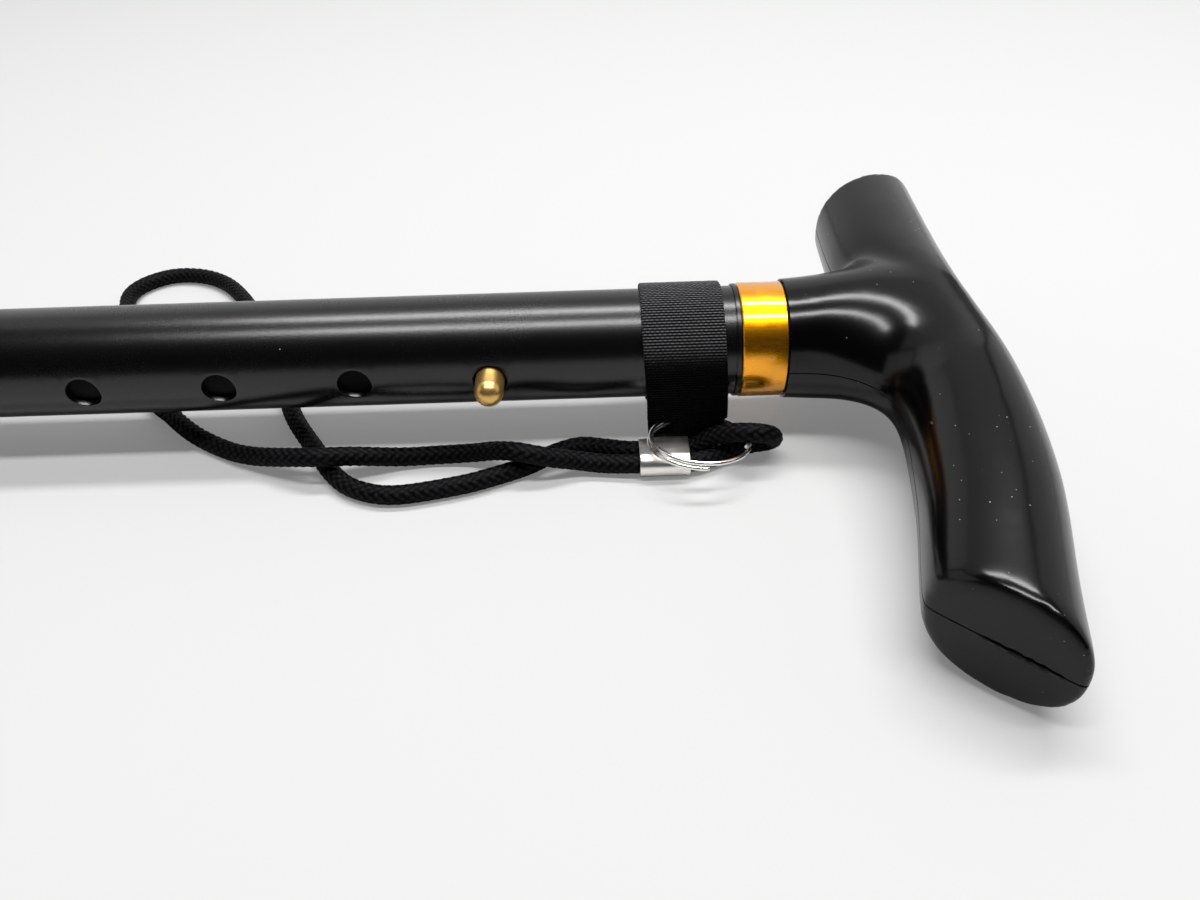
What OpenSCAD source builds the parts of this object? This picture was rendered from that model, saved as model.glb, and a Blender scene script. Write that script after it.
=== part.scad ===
// Folding walking cane: moulded derby handle, telescopic top section and three elastic-corded sections.
// Origin at the centre of the rubber tip's face, +X up the shaft to the handle, +Z up as it lies on a table.

/* [Shaft] */
// Outside diameter of the handle tube
tube_od = 21; // [19:0.5:26]
// Wall of every tube
tube_wall = 1; // [0.8:0.1:1.5]
// Radial gap between the telescoping tubes
slide_gap = 0.3; // [0.2:0.05:0.5]
// Length of one folding section, mouth to mouth
section_len = 175; // [150:5:220]
// Length of the upper tube that shows below the handle tube at the lowest height
upper_show = 20; // [12:1:60]
// Length of the upper tube above the snap button
upper_past = 14; // [10:1:20]
// Radial gap of a fixed fit
fit_gap = 0.05; // [0.03:0.01:0.1]

/* [Height holes] */
// Number of height holes
hole_count = 7; // [4:1:8]
// Distance between height holes
hole_pitch = 25.4; // [20:0.2:30]
// Diameter of a height hole
hole_d = 6.4; // [5.5:0.1:7.5]
// Tube below the last hole
hole_tail = 25.4; // [15:0.2:40]
// From the top hole to the collar
hole_to_collar = 47.2; // [42:0.2:70]

/* [Snap button] */
// Diameter of the button's stem and dome
button_d = 5.5; // [4.5:0.1:6]
// Height of the dome's top above the handle tube
button_proud = 5.9; // [3:0.1:7]
// Thickness of the spring leaf
leaf_t = 0.6; // [0.4:0.1:1]
// Width of the spring leaf
leaf_w = 6; // [4:0.5:8]

/* [Handle] */
// Roll of the handle about the shaft, long end down on the table
handle_roll = 5; // [0:0.5:8]
// Wall of the moulded shells
shell_wall = 3; // [2:0.2:4]
// Depth of the tube's seat in the neck
seat_depth = 24; // [18:1:27]
// How far the neck stands proud of the tube at the collar
neck_proud = 0.6; // [0.5:0.1:1.2]
// Slope of the long end's cut across the grip
long_cut = 0.83; // [0.5:0.01:1]
// Slope of the short end's cut across the grip
short_cut = 0.31; // [0:0.01:0.6]
// Diameter of the cross pin
pin_d = 3; // [2:0.5:4]
// Length of the cross pin
pin_len = 30; // [26:1:36]

/* [Collar] */
// Length of the gold collar
collar_len = 8.8; // [6:0.2:14]
// How far the collar stands proud of the tube
collar_proud = 0.55; // [0.4:0.05:1]
// Thickness of the washer below the collar
washer_t = 0.9; // [0.6:0.1:2]
// How far the washer stands proud of the tube
washer_proud = 0.4; // [0.2:0.05:0.6]

/* [Fold joints] */
// Distance from the shaft's axis to the point that a section turns about
fold_arm = 15.2; // [15.2:0.2:18]
// Distance that a section pulls out as it folds
fold_pull = 40; // [36:1:50]
// Radius of a joint plug at the mouth
plug_r = 6.8; // [6.2:0.1:7]
// Length of a joint plug's nose
plug_len = 14; // [10:0.5:15]
// Length of a joint plug inside its tube
plug_shank = 40; // [36:1:60]
// Gap between plug and socket
plug_gap = 0.3; // [0.25:0.05:0.5]
// Gap between the closed faces of two sections
face_gap = 0.2; // [0.1:0.05:0.5]
// Wall of a joint collar
joint_collar_wall = 1.75; // [1.3:0.05:2.2]
// Length of a joint collar
joint_collar_len = 18; // [12:1:30]

/* [Elastic] */
// Diameter of the elastic cord in the shaft
elastic_d = 4; // [3:0.2:4.4]
// Gap round the elastic in its bores
elastic_gap = 0.4; // [0.3:0.05:0.6]
// Diameter of the elastic's knots
knot_d = 8; // [7:0.2:10]
// Thickness of the elastic's anchors
anchor_t = 6; // [4:0.5:10]
// From the snap button down to the top anchor
anchor_drop = 50; // [45:1:70]
// From the end of the last tube up to the bottom anchor
anchor_rise = 18; // [10:1:30]

/* [Tip] */
// Diameter of the rubber tip's foot
tip_d = 36; // [32:0.5:36]
// Height of the rubber tip
tip_len = 32; // [26:1:45]
// Rubber below the steel washer
tip_floor = 6; // [5:0.5:10]
// Thickness of the steel washer in the tip
tip_washer_t = 1.2; // [0.8:0.1:2]
// From the tip's face to the start of the first section's length
foot_h = 20; // [15:1:40]

/* [Wrist strap] */
// Width of the elastic band
band_w = 15; // [12:0.5:20]
// Thickness of the elastic band
band_t = 1; // [0.8:0.1:1.2]
// From the band to the collar
band_to_collar = 2.5; // [2:0.1:8]
// Diameter of the braided wrist cord
cord_d = 3.8; // [3.4:0.1:4]
// Radius of the split ring at the middle of its outer wire
ring_r = 9.6; // [9.4:0.1:9.8]
// Diameter of the split ring's wire
ring_wire = 0.9; // [0.7:0.1:0.9]
// Length of the crimp sleeve
crimp_len = 9.5; // [8:0.5:12]
// Wall of the crimp sleeve
crimp_wall = 0.4; // [0.3:0.1:0.6]

/* [Hidden] */
$fn = 48;
// Overlap of a cut past the face that it leaves
past = 1;
// More than the handle's size in every direction
far = 200;

black_satin = "#1c1c1e";
black_gloss = "#0c0c0d";
black_matt = "#161616";
gold = "#e39a14";
brass = "#c08a35";
nickel = "#c9c9c6";
steel = "#8f9296";
webbing = "#111111";

// Radii of the tubes
tube_r = tube_od / 2;
tube_bore = tube_r - tube_wall;
lower_r = tube_bore - slide_gap;
lower_bore = lower_r - tube_wall;
neck_r = tube_r + neck_proud;
elastic_r = elastic_d / 2;
elastic_bore = elastic_r + elastic_gap;
// The shaft's axis lies this high above the table
ground = tip_d / 2;

// Places along the shaft: the mouths of the sections, the tubes' ends and the handle
mouth_4 = foot_h + section_len;
mouth_3 = mouth_4 + section_len;
mouth_2 = mouth_3 + section_len;
bush_x = mouth_2 + upper_show;
button_x = bush_x + hole_tail + (hole_count - 1) * hole_pitch;
collar_x = button_x + hole_to_collar;
neck_x = collar_x + collar_len;
tube_end = neck_x + seat_depth;
upper_tube_top = button_x + upper_past;
anchor_x = button_x - anchor_drop;
tube_foot = tip_floor + tip_washer_t;
foot_anchor_x = tube_foot + anchor_rise;

// A plug clears its socket while the section turns and pulls out together, so its nose is a parabola
nose_ease = 2;
nose_curve = 1 / (fold_pull / PI + fold_arm + plug_r - nose_ease);
function nose_r(d) = plug_r - nose_curve * d * d / 2;
nose_steps = 8;
// Length of the elastic that comes out with a knuckle
knuckle_len = 30;

// Handle form in its own plane: u along the shaft from the neck, v across to the short end.
// Each station is v, back line u, inner line u, half thickness.
grip_stations = [
    [-96, 27.4, 9.5, neck_r + 0.1],
    [-70, 32.7, 10.5, neck_r],
    [-45, 38.1, 15.5, neck_r + 0.8],
    [-20, 39.2, 18.2, neck_r + 0.8],
    [5, 36.5, 17, neck_r + 0.6],
    [25, 36.2, 14, neck_r + 0.1],
    [60, 36.1, 14.4, neck_r - 0.8]];
// Each station is u, half width, half height.
neck_stations = [
    [0, neck_r, neck_r],
    [5, neck_r + 0.3, neck_r + 0.1],
    [9, neck_r + 1.4, neck_r + 0.2],
    [13, neck_r + 4, neck_r + 0.4],
    [16.5, neck_r + 7.4, neck_r + 0.4],
    [18.2, neck_r + 12.2, neck_r + 0.4],
    [25, neck_r + 16, neck_r + 0.1]];
long_end_v = -67;
long_end_u = 11.2;
short_end_v = 40.6;
short_end_u = 13.4;
grip_sides = 28;
grip_rings = 26;
neck_rings = 15;
section_power = 2.2;
pin_u = 16;
// Length of the plug in the tube's end
plug_deep = 22;
peg_u = 32;
peg_v = 12;
peg_r = 1.6;
peg_len = 4;
// The hollow in each arm of the handle, from and to v
long_hollow = [-60, -17];
short_hollow = [17, 35];

// Wrist cord: lanes in the crimp, then the route over the table as
// distance from the collar, distance from the shaft's axis and height above the table
crimp_x = -14.8;
crimp_y = -16.4;
lane = 2.1;
crimp_gap = 0.15;
// Height of the cord's middle where it lies on the table
lie = cord_d / 2;
lane_h = 2.6;
cord_route = [
    [-14.8, crimp_y - lane, lane_h], [-9.8, crimp_y - lane, lane_h], [-5, -17.4, 2.1], [-0.4, -15, lie],
    [2.7, -13.9, lie], [5.1, -14.2, 2.9], [6.1, -15.4, 5], [5, -16.7, 7.1], [2.6, -17.3, 8.1], [0, -17, 8.1],
    [-2.7, -15.8, 7.2], [-5.4, -14.6, 5.5], [-7.9, crimp_y + lane, 3.5], [-10.3, crimp_y + lane, lane_h],
    [-13.5, crimp_y + lane, lane_h], [-18, crimp_y + lane, lane_h], [-22, -14, 2.5], [-26.5, -12.4, 2.1],
    [-31, -11.5, lie], [-36, -13.6, lie], [-41, -17.1, lie], [-46.8, -19.9, lie], [-54, -22.5, lie],
    [-65, -24.6, lie], [-72, -23, lie], [-77.2, -18.8, lie], [-82.9, -9.9, lie], [-90.5, 3.6, lie],
    [-96.5, 22, lie], [-112, 51, lie], [-122.5, 63, lie], [-134, 65.5, lie], [-141.5, 58, lie],
    [-138.5, 45, lie], [-123, 13, lie], [-114.9, 3, lie], [-108, -3.9, lie], [-100.6, -9, lie],
    [-94.5, -12.4, 2.8], [-88, -15.5, 4.6], [-80.6, -17.8, 6.1], [-73.8, -16.4, 5], [-65.7, -13.7, 2.4],
    [-58.4, -12.8, lie], [-51.5, -13.4, 2.6], [-47, -15.5, 4.5], [-43, -18, 6.1], [-39.4, -18.8, 5.8],
    [-35.5, -18.3, 4.4], [-31, -17.4, 2.9], [-26.5, -17.7, 2.3], [-22, -18.3, 2.5],
    [-18, crimp_y - lane, lane_h], [-15.4, crimp_y - lane, lane_h]];
cord_sides = 8;
ring_centre = [-8.1, -16.2, 5.9];
ring_tilt = [-10, 4, 0];
// The ring's wire winds inwards and down by these steps in a turn, between its two cut ends
ring_in = 1.1;
ring_down = 0.72;
ring_start = 275;
ring_sweep = 660;
ring_steps = 44;
ring_sides = 6;
tab_inset = 0.6;
tab_front = tube_r + band_t + fit_gap;
tab_back = -3.4;
tab_lift = 0.3;
// The split ring draws the tab's two edges in by this much, below this height
tab_pinch = [4.9, 1.5];
tab_pinch_z = -11.2;

// Smooth value at t between the two middle values of four
function blend4(a, b, c, d, t) =
    b + 0.5 * t * (c - a + t * (2 * a - 5 * b + 4 * c - d + t * (3 * (b - c) + d - a)));
function pick(list, i) = list[max(0, min(len(list) - 1, i))];
function along(list, s) = let (i = min(floor(s), len(list) - 2), t = s - i)
    blend4(pick(list, i - 1), list[i], list[i + 1], pick(list, i + 2), t);
function bend(x, p) = sign(x) * pow(abs(x), 2 / p);
// Ring of points of a rounded section with these half sizes, none of them on its axes
function rounded(ax, ay, sides) = [for (k = [0:sides - 1]) let (a = 360 * (k + 0.5) / sides)
    [ax * bend(cos(a), section_power), ay * bend(sin(a), section_power)]];

// Skin of a tube of rings, closed at both ends
function skin(rings) = let (n = len(rings[0]), m = len(rings)) concat(
    [for (i = [0:m - 2], k = [0:n - 1]) let (a = i * n + k, b = i * n + (k + 1) % n) [a, a + n, b]],
    [for (i = [0:m - 2], k = [0:n - 1]) let (a = i * n + k, b = i * n + (k + 1) % n) [b, a + n, b + n]],
    [for (k = [1:n - 2]) [0, k, k + 1]],
    [for (k = [1:n - 2]) let (e = (m - 1) * n) [e, e + k + 1, e + k]]);
module loft(rings) { polyhedron([for (r = rings, p = r) p], skin(rings)); }

// Round tube along a path, kept upright
function unit(v) = v / norm(v);
function heading(path, i) = unit(pick(path, i + 1) - pick(path, i - 1));
function round_ring(path, i, r, sides) =
    let (h = heading(path, i), s = unit(cross(h, [0, 0, 1])), n = cross(s, h))
    [for (k = [0:sides - 1]) path[i] + r * (cos(360 * k / sides) * n + sin(360 * k / sides) * s)];
module sweep(path, r, sides) { loft([for (i = [0:len(path) - 1]) round_ring(path, i, r, sides)]); }

// Solid of revolution about the shaft from points of x and radius
module turned(points) {
    rotate([0, 90, 0]) rotate([0, 0, 90]) rotate_extrude() polygon([for (p = points) [p[1], p[0]]]);
}
module rod(x0, x1, r) { translate([x0, 0, 0]) rotate([0, 90, 0]) cylinder(h = x1 - x0, r = r); }
module pipe(x0, x1, outer, bore) {
    difference() {
        rod(x0, x1, outer);
        rod(x0 - past, x1 + past, bore);
    }
}
// Puts a radial piece, drawn along +Z, at a place on the button side of the shaft
module radial(x) { translate([x, 0, 0]) rotate([handle_roll + 90, 0, 0]) children(); }
// Puts a piece drawn in the handle's plane in its place
module in_handle() { translate([neck_x, 0, 0]) rotate([handle_roll, 0, 0]) children(); }

function grip_ring(s, inset) =
    let (g = along(grip_stations, s), mid = (g[1] + g[2]) / 2, half = (g[1] - g[2]) / 2)
    [for (p = rounded(half - inset, g[3] - inset, grip_sides)) [mid + p[0], g[0], p[1]]];
module grip_body(inset) {
    top = len(grip_stations) - 1;
    loft([for (i = [grip_rings:-1:0]) grip_ring(top * i / grip_rings, inset)]);
}
function neck_ring(s) = let (g = along(neck_stations, s))
    [for (p = rounded(g[1], g[2], grip_sides)) [g[0], p[0], p[1]]];
module neck_body() {
    top = len(neck_stations) - 1;
    loft([for (i = [0:neck_rings]) neck_ring(top * i / neck_rings)]);
}
// Space kept between the slanted ends of the handle
module between_ends(inset) {
    linear_extrude(height = far, center = true) polygon([
        [-past, long_end_v + inset + long_cut * (long_end_u + past)],
        [far, long_end_v + inset + long_cut * (long_end_u - far)],
        [far, short_end_v - inset + short_cut * (far - short_end_u)],
        [-past, short_end_v - inset - short_cut * (short_end_u + past)]]);
}
module hollow(range) {
    intersection() {
        grip_body(shell_wall);
        between_ends(shell_wall);
        translate([-past, range[0], -far / 2]) cube([far, range[1] - range[0], far]);
    }
}
module handle_solid() {
    difference() {
        union() {
            intersection() {
                grip_body(0);
                between_ends(0);
            }
            neck_body();
        }
        hollow(long_hollow);
        hollow(short_hollow);
        rod(-past, seat_depth + fit_gap, tube_r + fit_gap);
        translate([pin_u, 0, 0]) rotate([90, 0, 0])
            cylinder(h = pin_len + 2 * fit_gap, d = pin_d + 2 * fit_gap, center = true);
    }
}
module half_space(up) { translate([-far, -far, up ? 0 : -far]) cube([2 * far, 2 * far, far]); }
module pegs(gap) {
    for (v = [-peg_v, peg_v]) translate([peg_u, v, -past])
        cylinder(h = peg_len + past + gap, r = peg_r + gap);
}

module handle_upper_shell() {
    color(black_gloss) in_handle() difference() {
        intersection() {
            handle_solid();
            half_space(true);
        }
        pegs(2 * fit_gap);
    }
}
module handle_lower_shell() {
    color(black_gloss) in_handle() union() {
        intersection() {
            handle_solid();
            half_space(false);
        }
        pegs(0);
    }
}
module tube_plug() {
    color(black_matt) in_handle() difference() {
        rod(seat_depth - plug_deep, seat_depth, tube_bore - fit_gap);
        translate([pin_u, 0, 0]) rotate([90, 0, 0])
            cylinder(h = tube_od, d = pin_d + 2 * fit_gap, center = true);
    }
}
module handle_pin() {
    color(steel) in_handle() translate([pin_u, 0, 0]) rotate([90, 0, 0])
        cylinder(h = pin_len, d = pin_d, center = true);
}
module collar_ring() {
    r = tube_r + collar_proud;
    edge = 0.35;
    color(gold) turned([
        [collar_x, tube_r + fit_gap], [collar_x, r - edge], [collar_x + edge, r], [neck_x - edge, r],
        [neck_x, r - edge], [neck_x, tube_r + fit_gap]]);
}
module collar_washer() {
    color(black_matt) pipe(collar_x - washer_t, collar_x, tube_r + washer_proud, tube_r + fit_gap);
}
module handle_tube() {
    color(black_satin) difference() {
        pipe(bush_x, tube_end, tube_r, tube_bore);
        for (i = [0:hole_count - 1]) radial(button_x - i * hole_pitch) cylinder(h = tube_od, d = hole_d);
        in_handle() translate([pin_u, 0, 0]) rotate([90, 0, 0])
            cylinder(h = 2 * tube_od, d = pin_d + 2 * fit_gap, center = true);
    }
}
module tube_end_bush() {
    lip = 3;
    sleeve = 12;
    wall = 0.85;
    lip_edge = 1;
    sleeve_edge = 0.4;
    bore = lower_r + slide_gap;
    seat = tube_r + fit_gap;
    r = seat + wall;
    low = bush_x - lip;
    high = bush_x + sleeve;
    color(black_matt) turned([
        [low, bore], [low, r - lip_edge], [low + lip_edge, r], [high - sleeve_edge, r],
        [high, r - sleeve_edge], [high, seat], [bush_x - fit_gap, seat], [bush_x - fit_gap, bore]]);
}
// Section of the band's tab across the shaft, drawn in by inset
module tab_section(inset) {
    front = inset - tab_front;
    back = tab_back - inset;
    low = tab_lift + inset - ground;
    polygon([[front, 0], [front, low + band_t], [front + band_t, low],
        [back - band_t, low], [back, low + band_t], [back, 0]]);
}
// The band hugs the tube, runs down at the front, under the split ring and back up
module wrist_band() {
    r = tube_r + fit_gap;
    x = collar_x - band_to_collar - band_w;
    right = x + band_w;
    color(webbing) union() {
        pipe(x, x + band_w, r + band_t, r);
        intersection() {
            translate([x, 0, 0]) rotate([90, 0, 90]) linear_extrude(height = band_w) difference() {
                tab_section(0);
                tab_section(band_t);
                circle(r = r + band_t / 2);
            }
            rotate([90, 0, 0]) linear_extrude(height = 4 * ground, center = true) polygon([
                [x + tab_inset, 0], [x + tab_inset, tab_pinch_z + band_t],
                [x + tab_pinch[0], tab_pinch_z], [x + tab_pinch[0], -ground],
                [right - tab_pinch[1], -ground], [right - tab_pinch[1], tab_pinch_z],
                [right - tab_inset, tab_pinch_z + band_t], [right - tab_inset, 0]]);
        }
    }
}
function on_table(p) = [collar_x + p[0], p[1], p[2] - ground];
module split_ring() {
    path = [for (i = [0:ring_steps]) let (a = ring_sweep * i / ring_steps, r = ring_r - ring_in * a / 360)
        [r * cos(ring_start - a), r * sin(ring_start - a), ring_down * (ring_sweep / 2 - a) / 360]];
    turn = 360 * ring_steps / ring_sweep;
    between_turns = [for (i = [0:ring_steps - turn]) norm(path[i + turn] - path[i])];
    echo(ring_gap_to_itself = min(between_turns) - ring_wire);
    color(nickel) translate(on_table(ring_centre)) rotate(ring_tilt) sweep(path, ring_wire / 2, ring_sides);
}
module cord_crimp() {
    r = cord_d / 2 + crimp_gap + crimp_wall;
    color(nickel) translate(on_table([crimp_x, crimp_y, lane_h])) rotate([90, 0, 90])
        linear_extrude(height = crimp_len, center = true) difference() {
            union() {
                for (s = [-1, 1]) translate([s * lane, 0]) circle(r = r);
                square([2 * lane, 2 * r], center = true);
            }
            for (s = [-1, 1]) translate([s * lane, 0]) circle(r = cord_d / 2 + crimp_gap);
            square([2 * lane, cord_d / 2], center = true);
        }
}
module wrist_cord() {
    last = len(cord_route) - 1;
    route = [for (i = [0:2 * last]) on_table(along(cord_route, i / 2))];
    color(webbing) sweep(route, cord_d / 2, cord_sides);
}

module upper_tube() {
    color(black_satin) difference() {
        pipe(mouth_2 + face_gap, upper_tube_top, lower_r, lower_bore);
        radial(button_x) cylinder(h = tube_od, d = button_d + 2 * slide_gap);
    }
}
// Dome and stem with the flange that keeps it in the tube
flange_lip = 0.8;
flange_r = button_d / 2 + flange_lip;
flange_top = sqrt(lower_bore * lower_bore - flange_r * flange_r) - slide_gap;
flange_t = 1.1;
module snap_button() {
    dome = button_d / 2;
    top = tube_r + button_proud;
    color(brass) radial(button_x) union() {
        translate([0, 0, flange_top - flange_t]) cylinder(h = flange_t, r = flange_r);
        translate([0, 0, flange_top - flange_t]) cylinder(h = top - dome - flange_top + flange_t, r = dome);
        translate([0, 0, top - dome]) sphere(r = dome);
    }
}
// Leaf folded back on itself: one leg carries the button, the other lies on the far wall
module button_spring() {
    reach = 32;
    toe = 5;
    turn = 1.2;
    high = flange_top - flange_t - 2 * fit_gap;
    low = -sqrt(lower_bore * lower_bore - leaf_w * leaf_w / 4) + leaf_t + fit_gap;
    nip = low + 2 * turn;
    mid = low + turn;
    color(steel) radial(button_x) rotate([90, 0, 0])
        linear_extrude(height = leaf_w, center = true) polygon([
            [toe, high], [-toe, high], [-reach, nip + leaf_t], [-reach - turn - leaf_t, mid],
            [-reach, low - leaf_t], [toe, low - leaf_t], [toe, low], [-reach, low], [-reach - turn, mid],
            [-reach, nip], [-toe, high - leaf_t], [toe, high - leaf_t]]);
}
module anchor(x) {
    color(black_matt) pipe(x, x + anchor_t, lower_bore - fit_gap, elastic_r + fit_gap);
}
module cord_anchor_top() { anchor(anchor_x); }
module cord_anchor_bottom() { anchor(foot_anchor_x); }

// Plug on the lower end of a section, above the mouth that it seats in
module joint_plug(mouth) {
    foot = mouth + face_gap;
    color(black_matt) turned(concat(
        [[foot + plug_shank, elastic_bore], [foot + plug_shank, lower_bore - fit_gap],
            [foot, lower_bore - fit_gap], [foot, plug_r]],
        [for (i = [0:nose_steps]) let (d = plug_len * i / nose_steps) [mouth - d, nose_r(d)]],
        [[mouth - plug_len, elastic_bore]]));
}
module joint_plug_1() { joint_plug(mouth_2); }
module joint_plug_2() { joint_plug(mouth_3); }
module joint_plug_3() { joint_plug(mouth_4); }

// Socket in the top of a section, flared to match the plug
module socket_liner(mouth) {
    deep = plug_len + 1;
    base = 4;
    color(black_matt) turned(concat(
        [[mouth - deep - base, lower_bore - fit_gap], [mouth, lower_bore - fit_gap]],
        [for (i = [0:nose_steps]) let (d = plug_len * i / nose_steps) [mouth - d, nose_r(d) + plug_gap]],
        [[mouth - deep - base, nose_r(plug_len) + plug_gap]]));
}
module socket_liner_2() { socket_liner(mouth_2); }
module socket_liner_3() { socket_liner(mouth_3); }
module socket_liner_4() { socket_liner(mouth_4); }

module joint_collar(mouth) {
    r = lower_r + fit_gap + joint_collar_wall;
    edge = 0.8;
    low = mouth - joint_collar_len;
    color(black_matt) turned([
        [low, lower_r + fit_gap], [low, r - edge], [low + edge, r], [mouth - edge, r], [mouth, r - edge],
        [mouth, lower_r + fit_gap]]);
}
module joint_collar_2() { joint_collar(mouth_2); }
module joint_collar_3() { joint_collar(mouth_3); }
module joint_collar_4() { joint_collar(mouth_4); }

module section_tube(x0, mouth) { color(black_satin) pipe(x0, mouth, lower_r, lower_bore); }
module tube_2() { section_tube(mouth_3 + face_gap, mouth_2); }
module tube_3() { section_tube(mouth_4 + face_gap, mouth_3); }
module tube_4() { section_tube(tube_foot, mouth_4); }

// The elastic inside one section, and the length that comes out between two sections
module elastic(x0, x1) { color(webbing) rod(x0, x1, elastic_r); }
module knot(x) { color(webbing) translate([x, 0, 0]) sphere(d = knot_d); }
plug_clear = 3;
elastic_start = plug_len + plug_clear;
module elastic_cord_1() {
    elastic(mouth_2 + knuckle_len + 2 * face_gap, anchor_x + anchor_t + knot_d / 2);
    knot(anchor_x + anchor_t + knot_d / 2);
}
module elastic_cord_2() { elastic(mouth_3 + knuckle_len + 2 * face_gap, mouth_2 - elastic_start); }
module elastic_cord_3() { elastic(mouth_4 + knuckle_len + 2 * face_gap, mouth_3 - elastic_start); }
module elastic_cord_4() {
    elastic(foot_anchor_x - knot_d / 2, mouth_4 - elastic_start);
    knot(foot_anchor_x - knot_d / 2);
}
module joint_cord(mouth) { elastic(mouth + face_gap, mouth + knuckle_len + face_gap); }
module joint_cord_1() { joint_cord(mouth_2); }
module joint_cord_2() { joint_cord(mouth_3); }
module joint_cord_3() { joint_cord(mouth_4); }

module tip_washer() { color(steel) rod(tip_floor, tip_floor + tip_washer_t, lower_r - fit_gap); }
// Middles of the grip rings cut in the tip's face
grip_rings_at = [7, 11.5];
// Rubber foot with a ribbed cup, a wide foot and grip rings in its face
module rubber_tip() {
    r = tip_d / 2;
    cup_wall = 3.2;
    cup = lower_r + cup_wall;
    edge = 1.5;
    foot_t = 6;
    foot_draft = 0.6;
    shoulder = 4;
    swell = 1;
    rib_count = 3;
    rib_pitch = 5;
    rib_up = 7;
    rib_proud = 0.8;
    rib_w = 2.4;
    rib_slope = 0.6;
    rib_foot = cup + 0.6;
    groove_deep = 1.4;
    groove_w = 2.4;
    ribs = [for (i = [0:rib_count - 1]) let (x = foot_t + rib_up + i * rib_pitch) each [
        [x, rib_foot], [x + rib_slope, rib_foot + rib_proud],
        [x + rib_w - rib_slope, rib_foot + rib_proud], [x + rib_w, rib_foot]]];
    color(black_matt) difference() {
        turned(concat(
            [[0, 0], [0, r - edge], [edge, r], [foot_t, r - foot_draft], [foot_t + shoulder, cup + swell]],
            ribs,
            [[tip_len - swell, cup], [tip_len, cup - swell], [tip_len, lower_r + fit_gap],
                [tip_floor, lower_r + fit_gap], [tip_floor, 0]]));
        for (g = grip_rings_at) pipe(-past, groove_deep, g + groove_w / 2, g - groove_w / 2);
    }
}

handle_upper_shell();
handle_lower_shell();
tube_plug();
handle_pin();
collar_ring();
collar_washer();
handle_tube();
tube_end_bush();
wrist_band();
split_ring();
cord_crimp();
wrist_cord();
upper_tube();
button_spring();
snap_button();
cord_anchor_top();
joint_plug_1();
elastic_cord_1();
joint_cord_1();
tube_2();
socket_liner_2();
joint_collar_2();
joint_plug_2();
elastic_cord_2();
joint_cord_2();
tube_3();
socket_liner_3();
joint_collar_3();
joint_plug_3();
elastic_cord_3();
joint_cord_3();
tube_4();
socket_liner_4();
joint_collar_4();
elastic_cord_4();
cord_anchor_bottom();
tip_washer();
rubber_tip();
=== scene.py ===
"""Dresses the folding cane: moulded derby handle, gold collar, black tubes and braided wrist strap."""

from __future__ import annotations

import logging
import math
from dataclasses import dataclass
from enum import Enum
from typing import Any, Callable, Iterable, Sequence, Union

import bmesh
import bpy
from mathutils import Euler, Matrix, Vector, noise

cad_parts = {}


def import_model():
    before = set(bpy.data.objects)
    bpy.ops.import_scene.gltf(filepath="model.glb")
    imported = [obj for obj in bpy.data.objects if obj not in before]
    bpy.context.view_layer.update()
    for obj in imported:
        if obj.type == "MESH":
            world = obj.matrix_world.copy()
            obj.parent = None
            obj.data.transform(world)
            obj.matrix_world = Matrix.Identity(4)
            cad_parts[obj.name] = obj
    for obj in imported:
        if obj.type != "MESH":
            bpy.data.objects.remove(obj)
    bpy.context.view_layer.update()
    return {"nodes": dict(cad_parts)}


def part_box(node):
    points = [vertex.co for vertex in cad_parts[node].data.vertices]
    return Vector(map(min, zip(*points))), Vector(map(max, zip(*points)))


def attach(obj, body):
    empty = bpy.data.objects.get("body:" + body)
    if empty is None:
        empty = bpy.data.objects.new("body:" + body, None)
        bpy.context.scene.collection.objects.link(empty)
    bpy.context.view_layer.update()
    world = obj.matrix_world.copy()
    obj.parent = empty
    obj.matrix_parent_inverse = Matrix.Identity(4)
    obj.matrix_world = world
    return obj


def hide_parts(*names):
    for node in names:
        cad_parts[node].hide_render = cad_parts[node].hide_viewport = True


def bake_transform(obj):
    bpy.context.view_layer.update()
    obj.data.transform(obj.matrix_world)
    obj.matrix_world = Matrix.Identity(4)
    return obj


LOG = logging.getLogger("folding_cane")
MM = 0.001
TAU = 2 * math.pi
# Points closer than this are one point
SEAM = 1e-7
# Edges of a turned piece that turn by more than this are bevelled
SHARP = math.radians(20)

Colour = tuple[float, float, float]
Value = Union["Sock", float, int, Sequence[float]]


class Body(Enum):
    """The moving bodies of the cane."""

    HANDLE = "handle_section"
    UPPER = "upper_shaft"
    BUTTON = "button"
    KNUCKLE_1 = "knuckle_1"
    SECTION_2 = "section_2"
    KNUCKLE_2 = "knuckle_2"
    SECTION_3 = "section_3"
    KNUCKLE_3 = "knuckle_3"
    SECTION_4 = "section_4"


KNUCKLES = (Body.KNUCKLE_1, Body.KNUCKLE_2, Body.KNUCKLE_3)
SECTIONS = (Body.SECTION_2, Body.SECTION_3, Body.SECTION_4)


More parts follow.
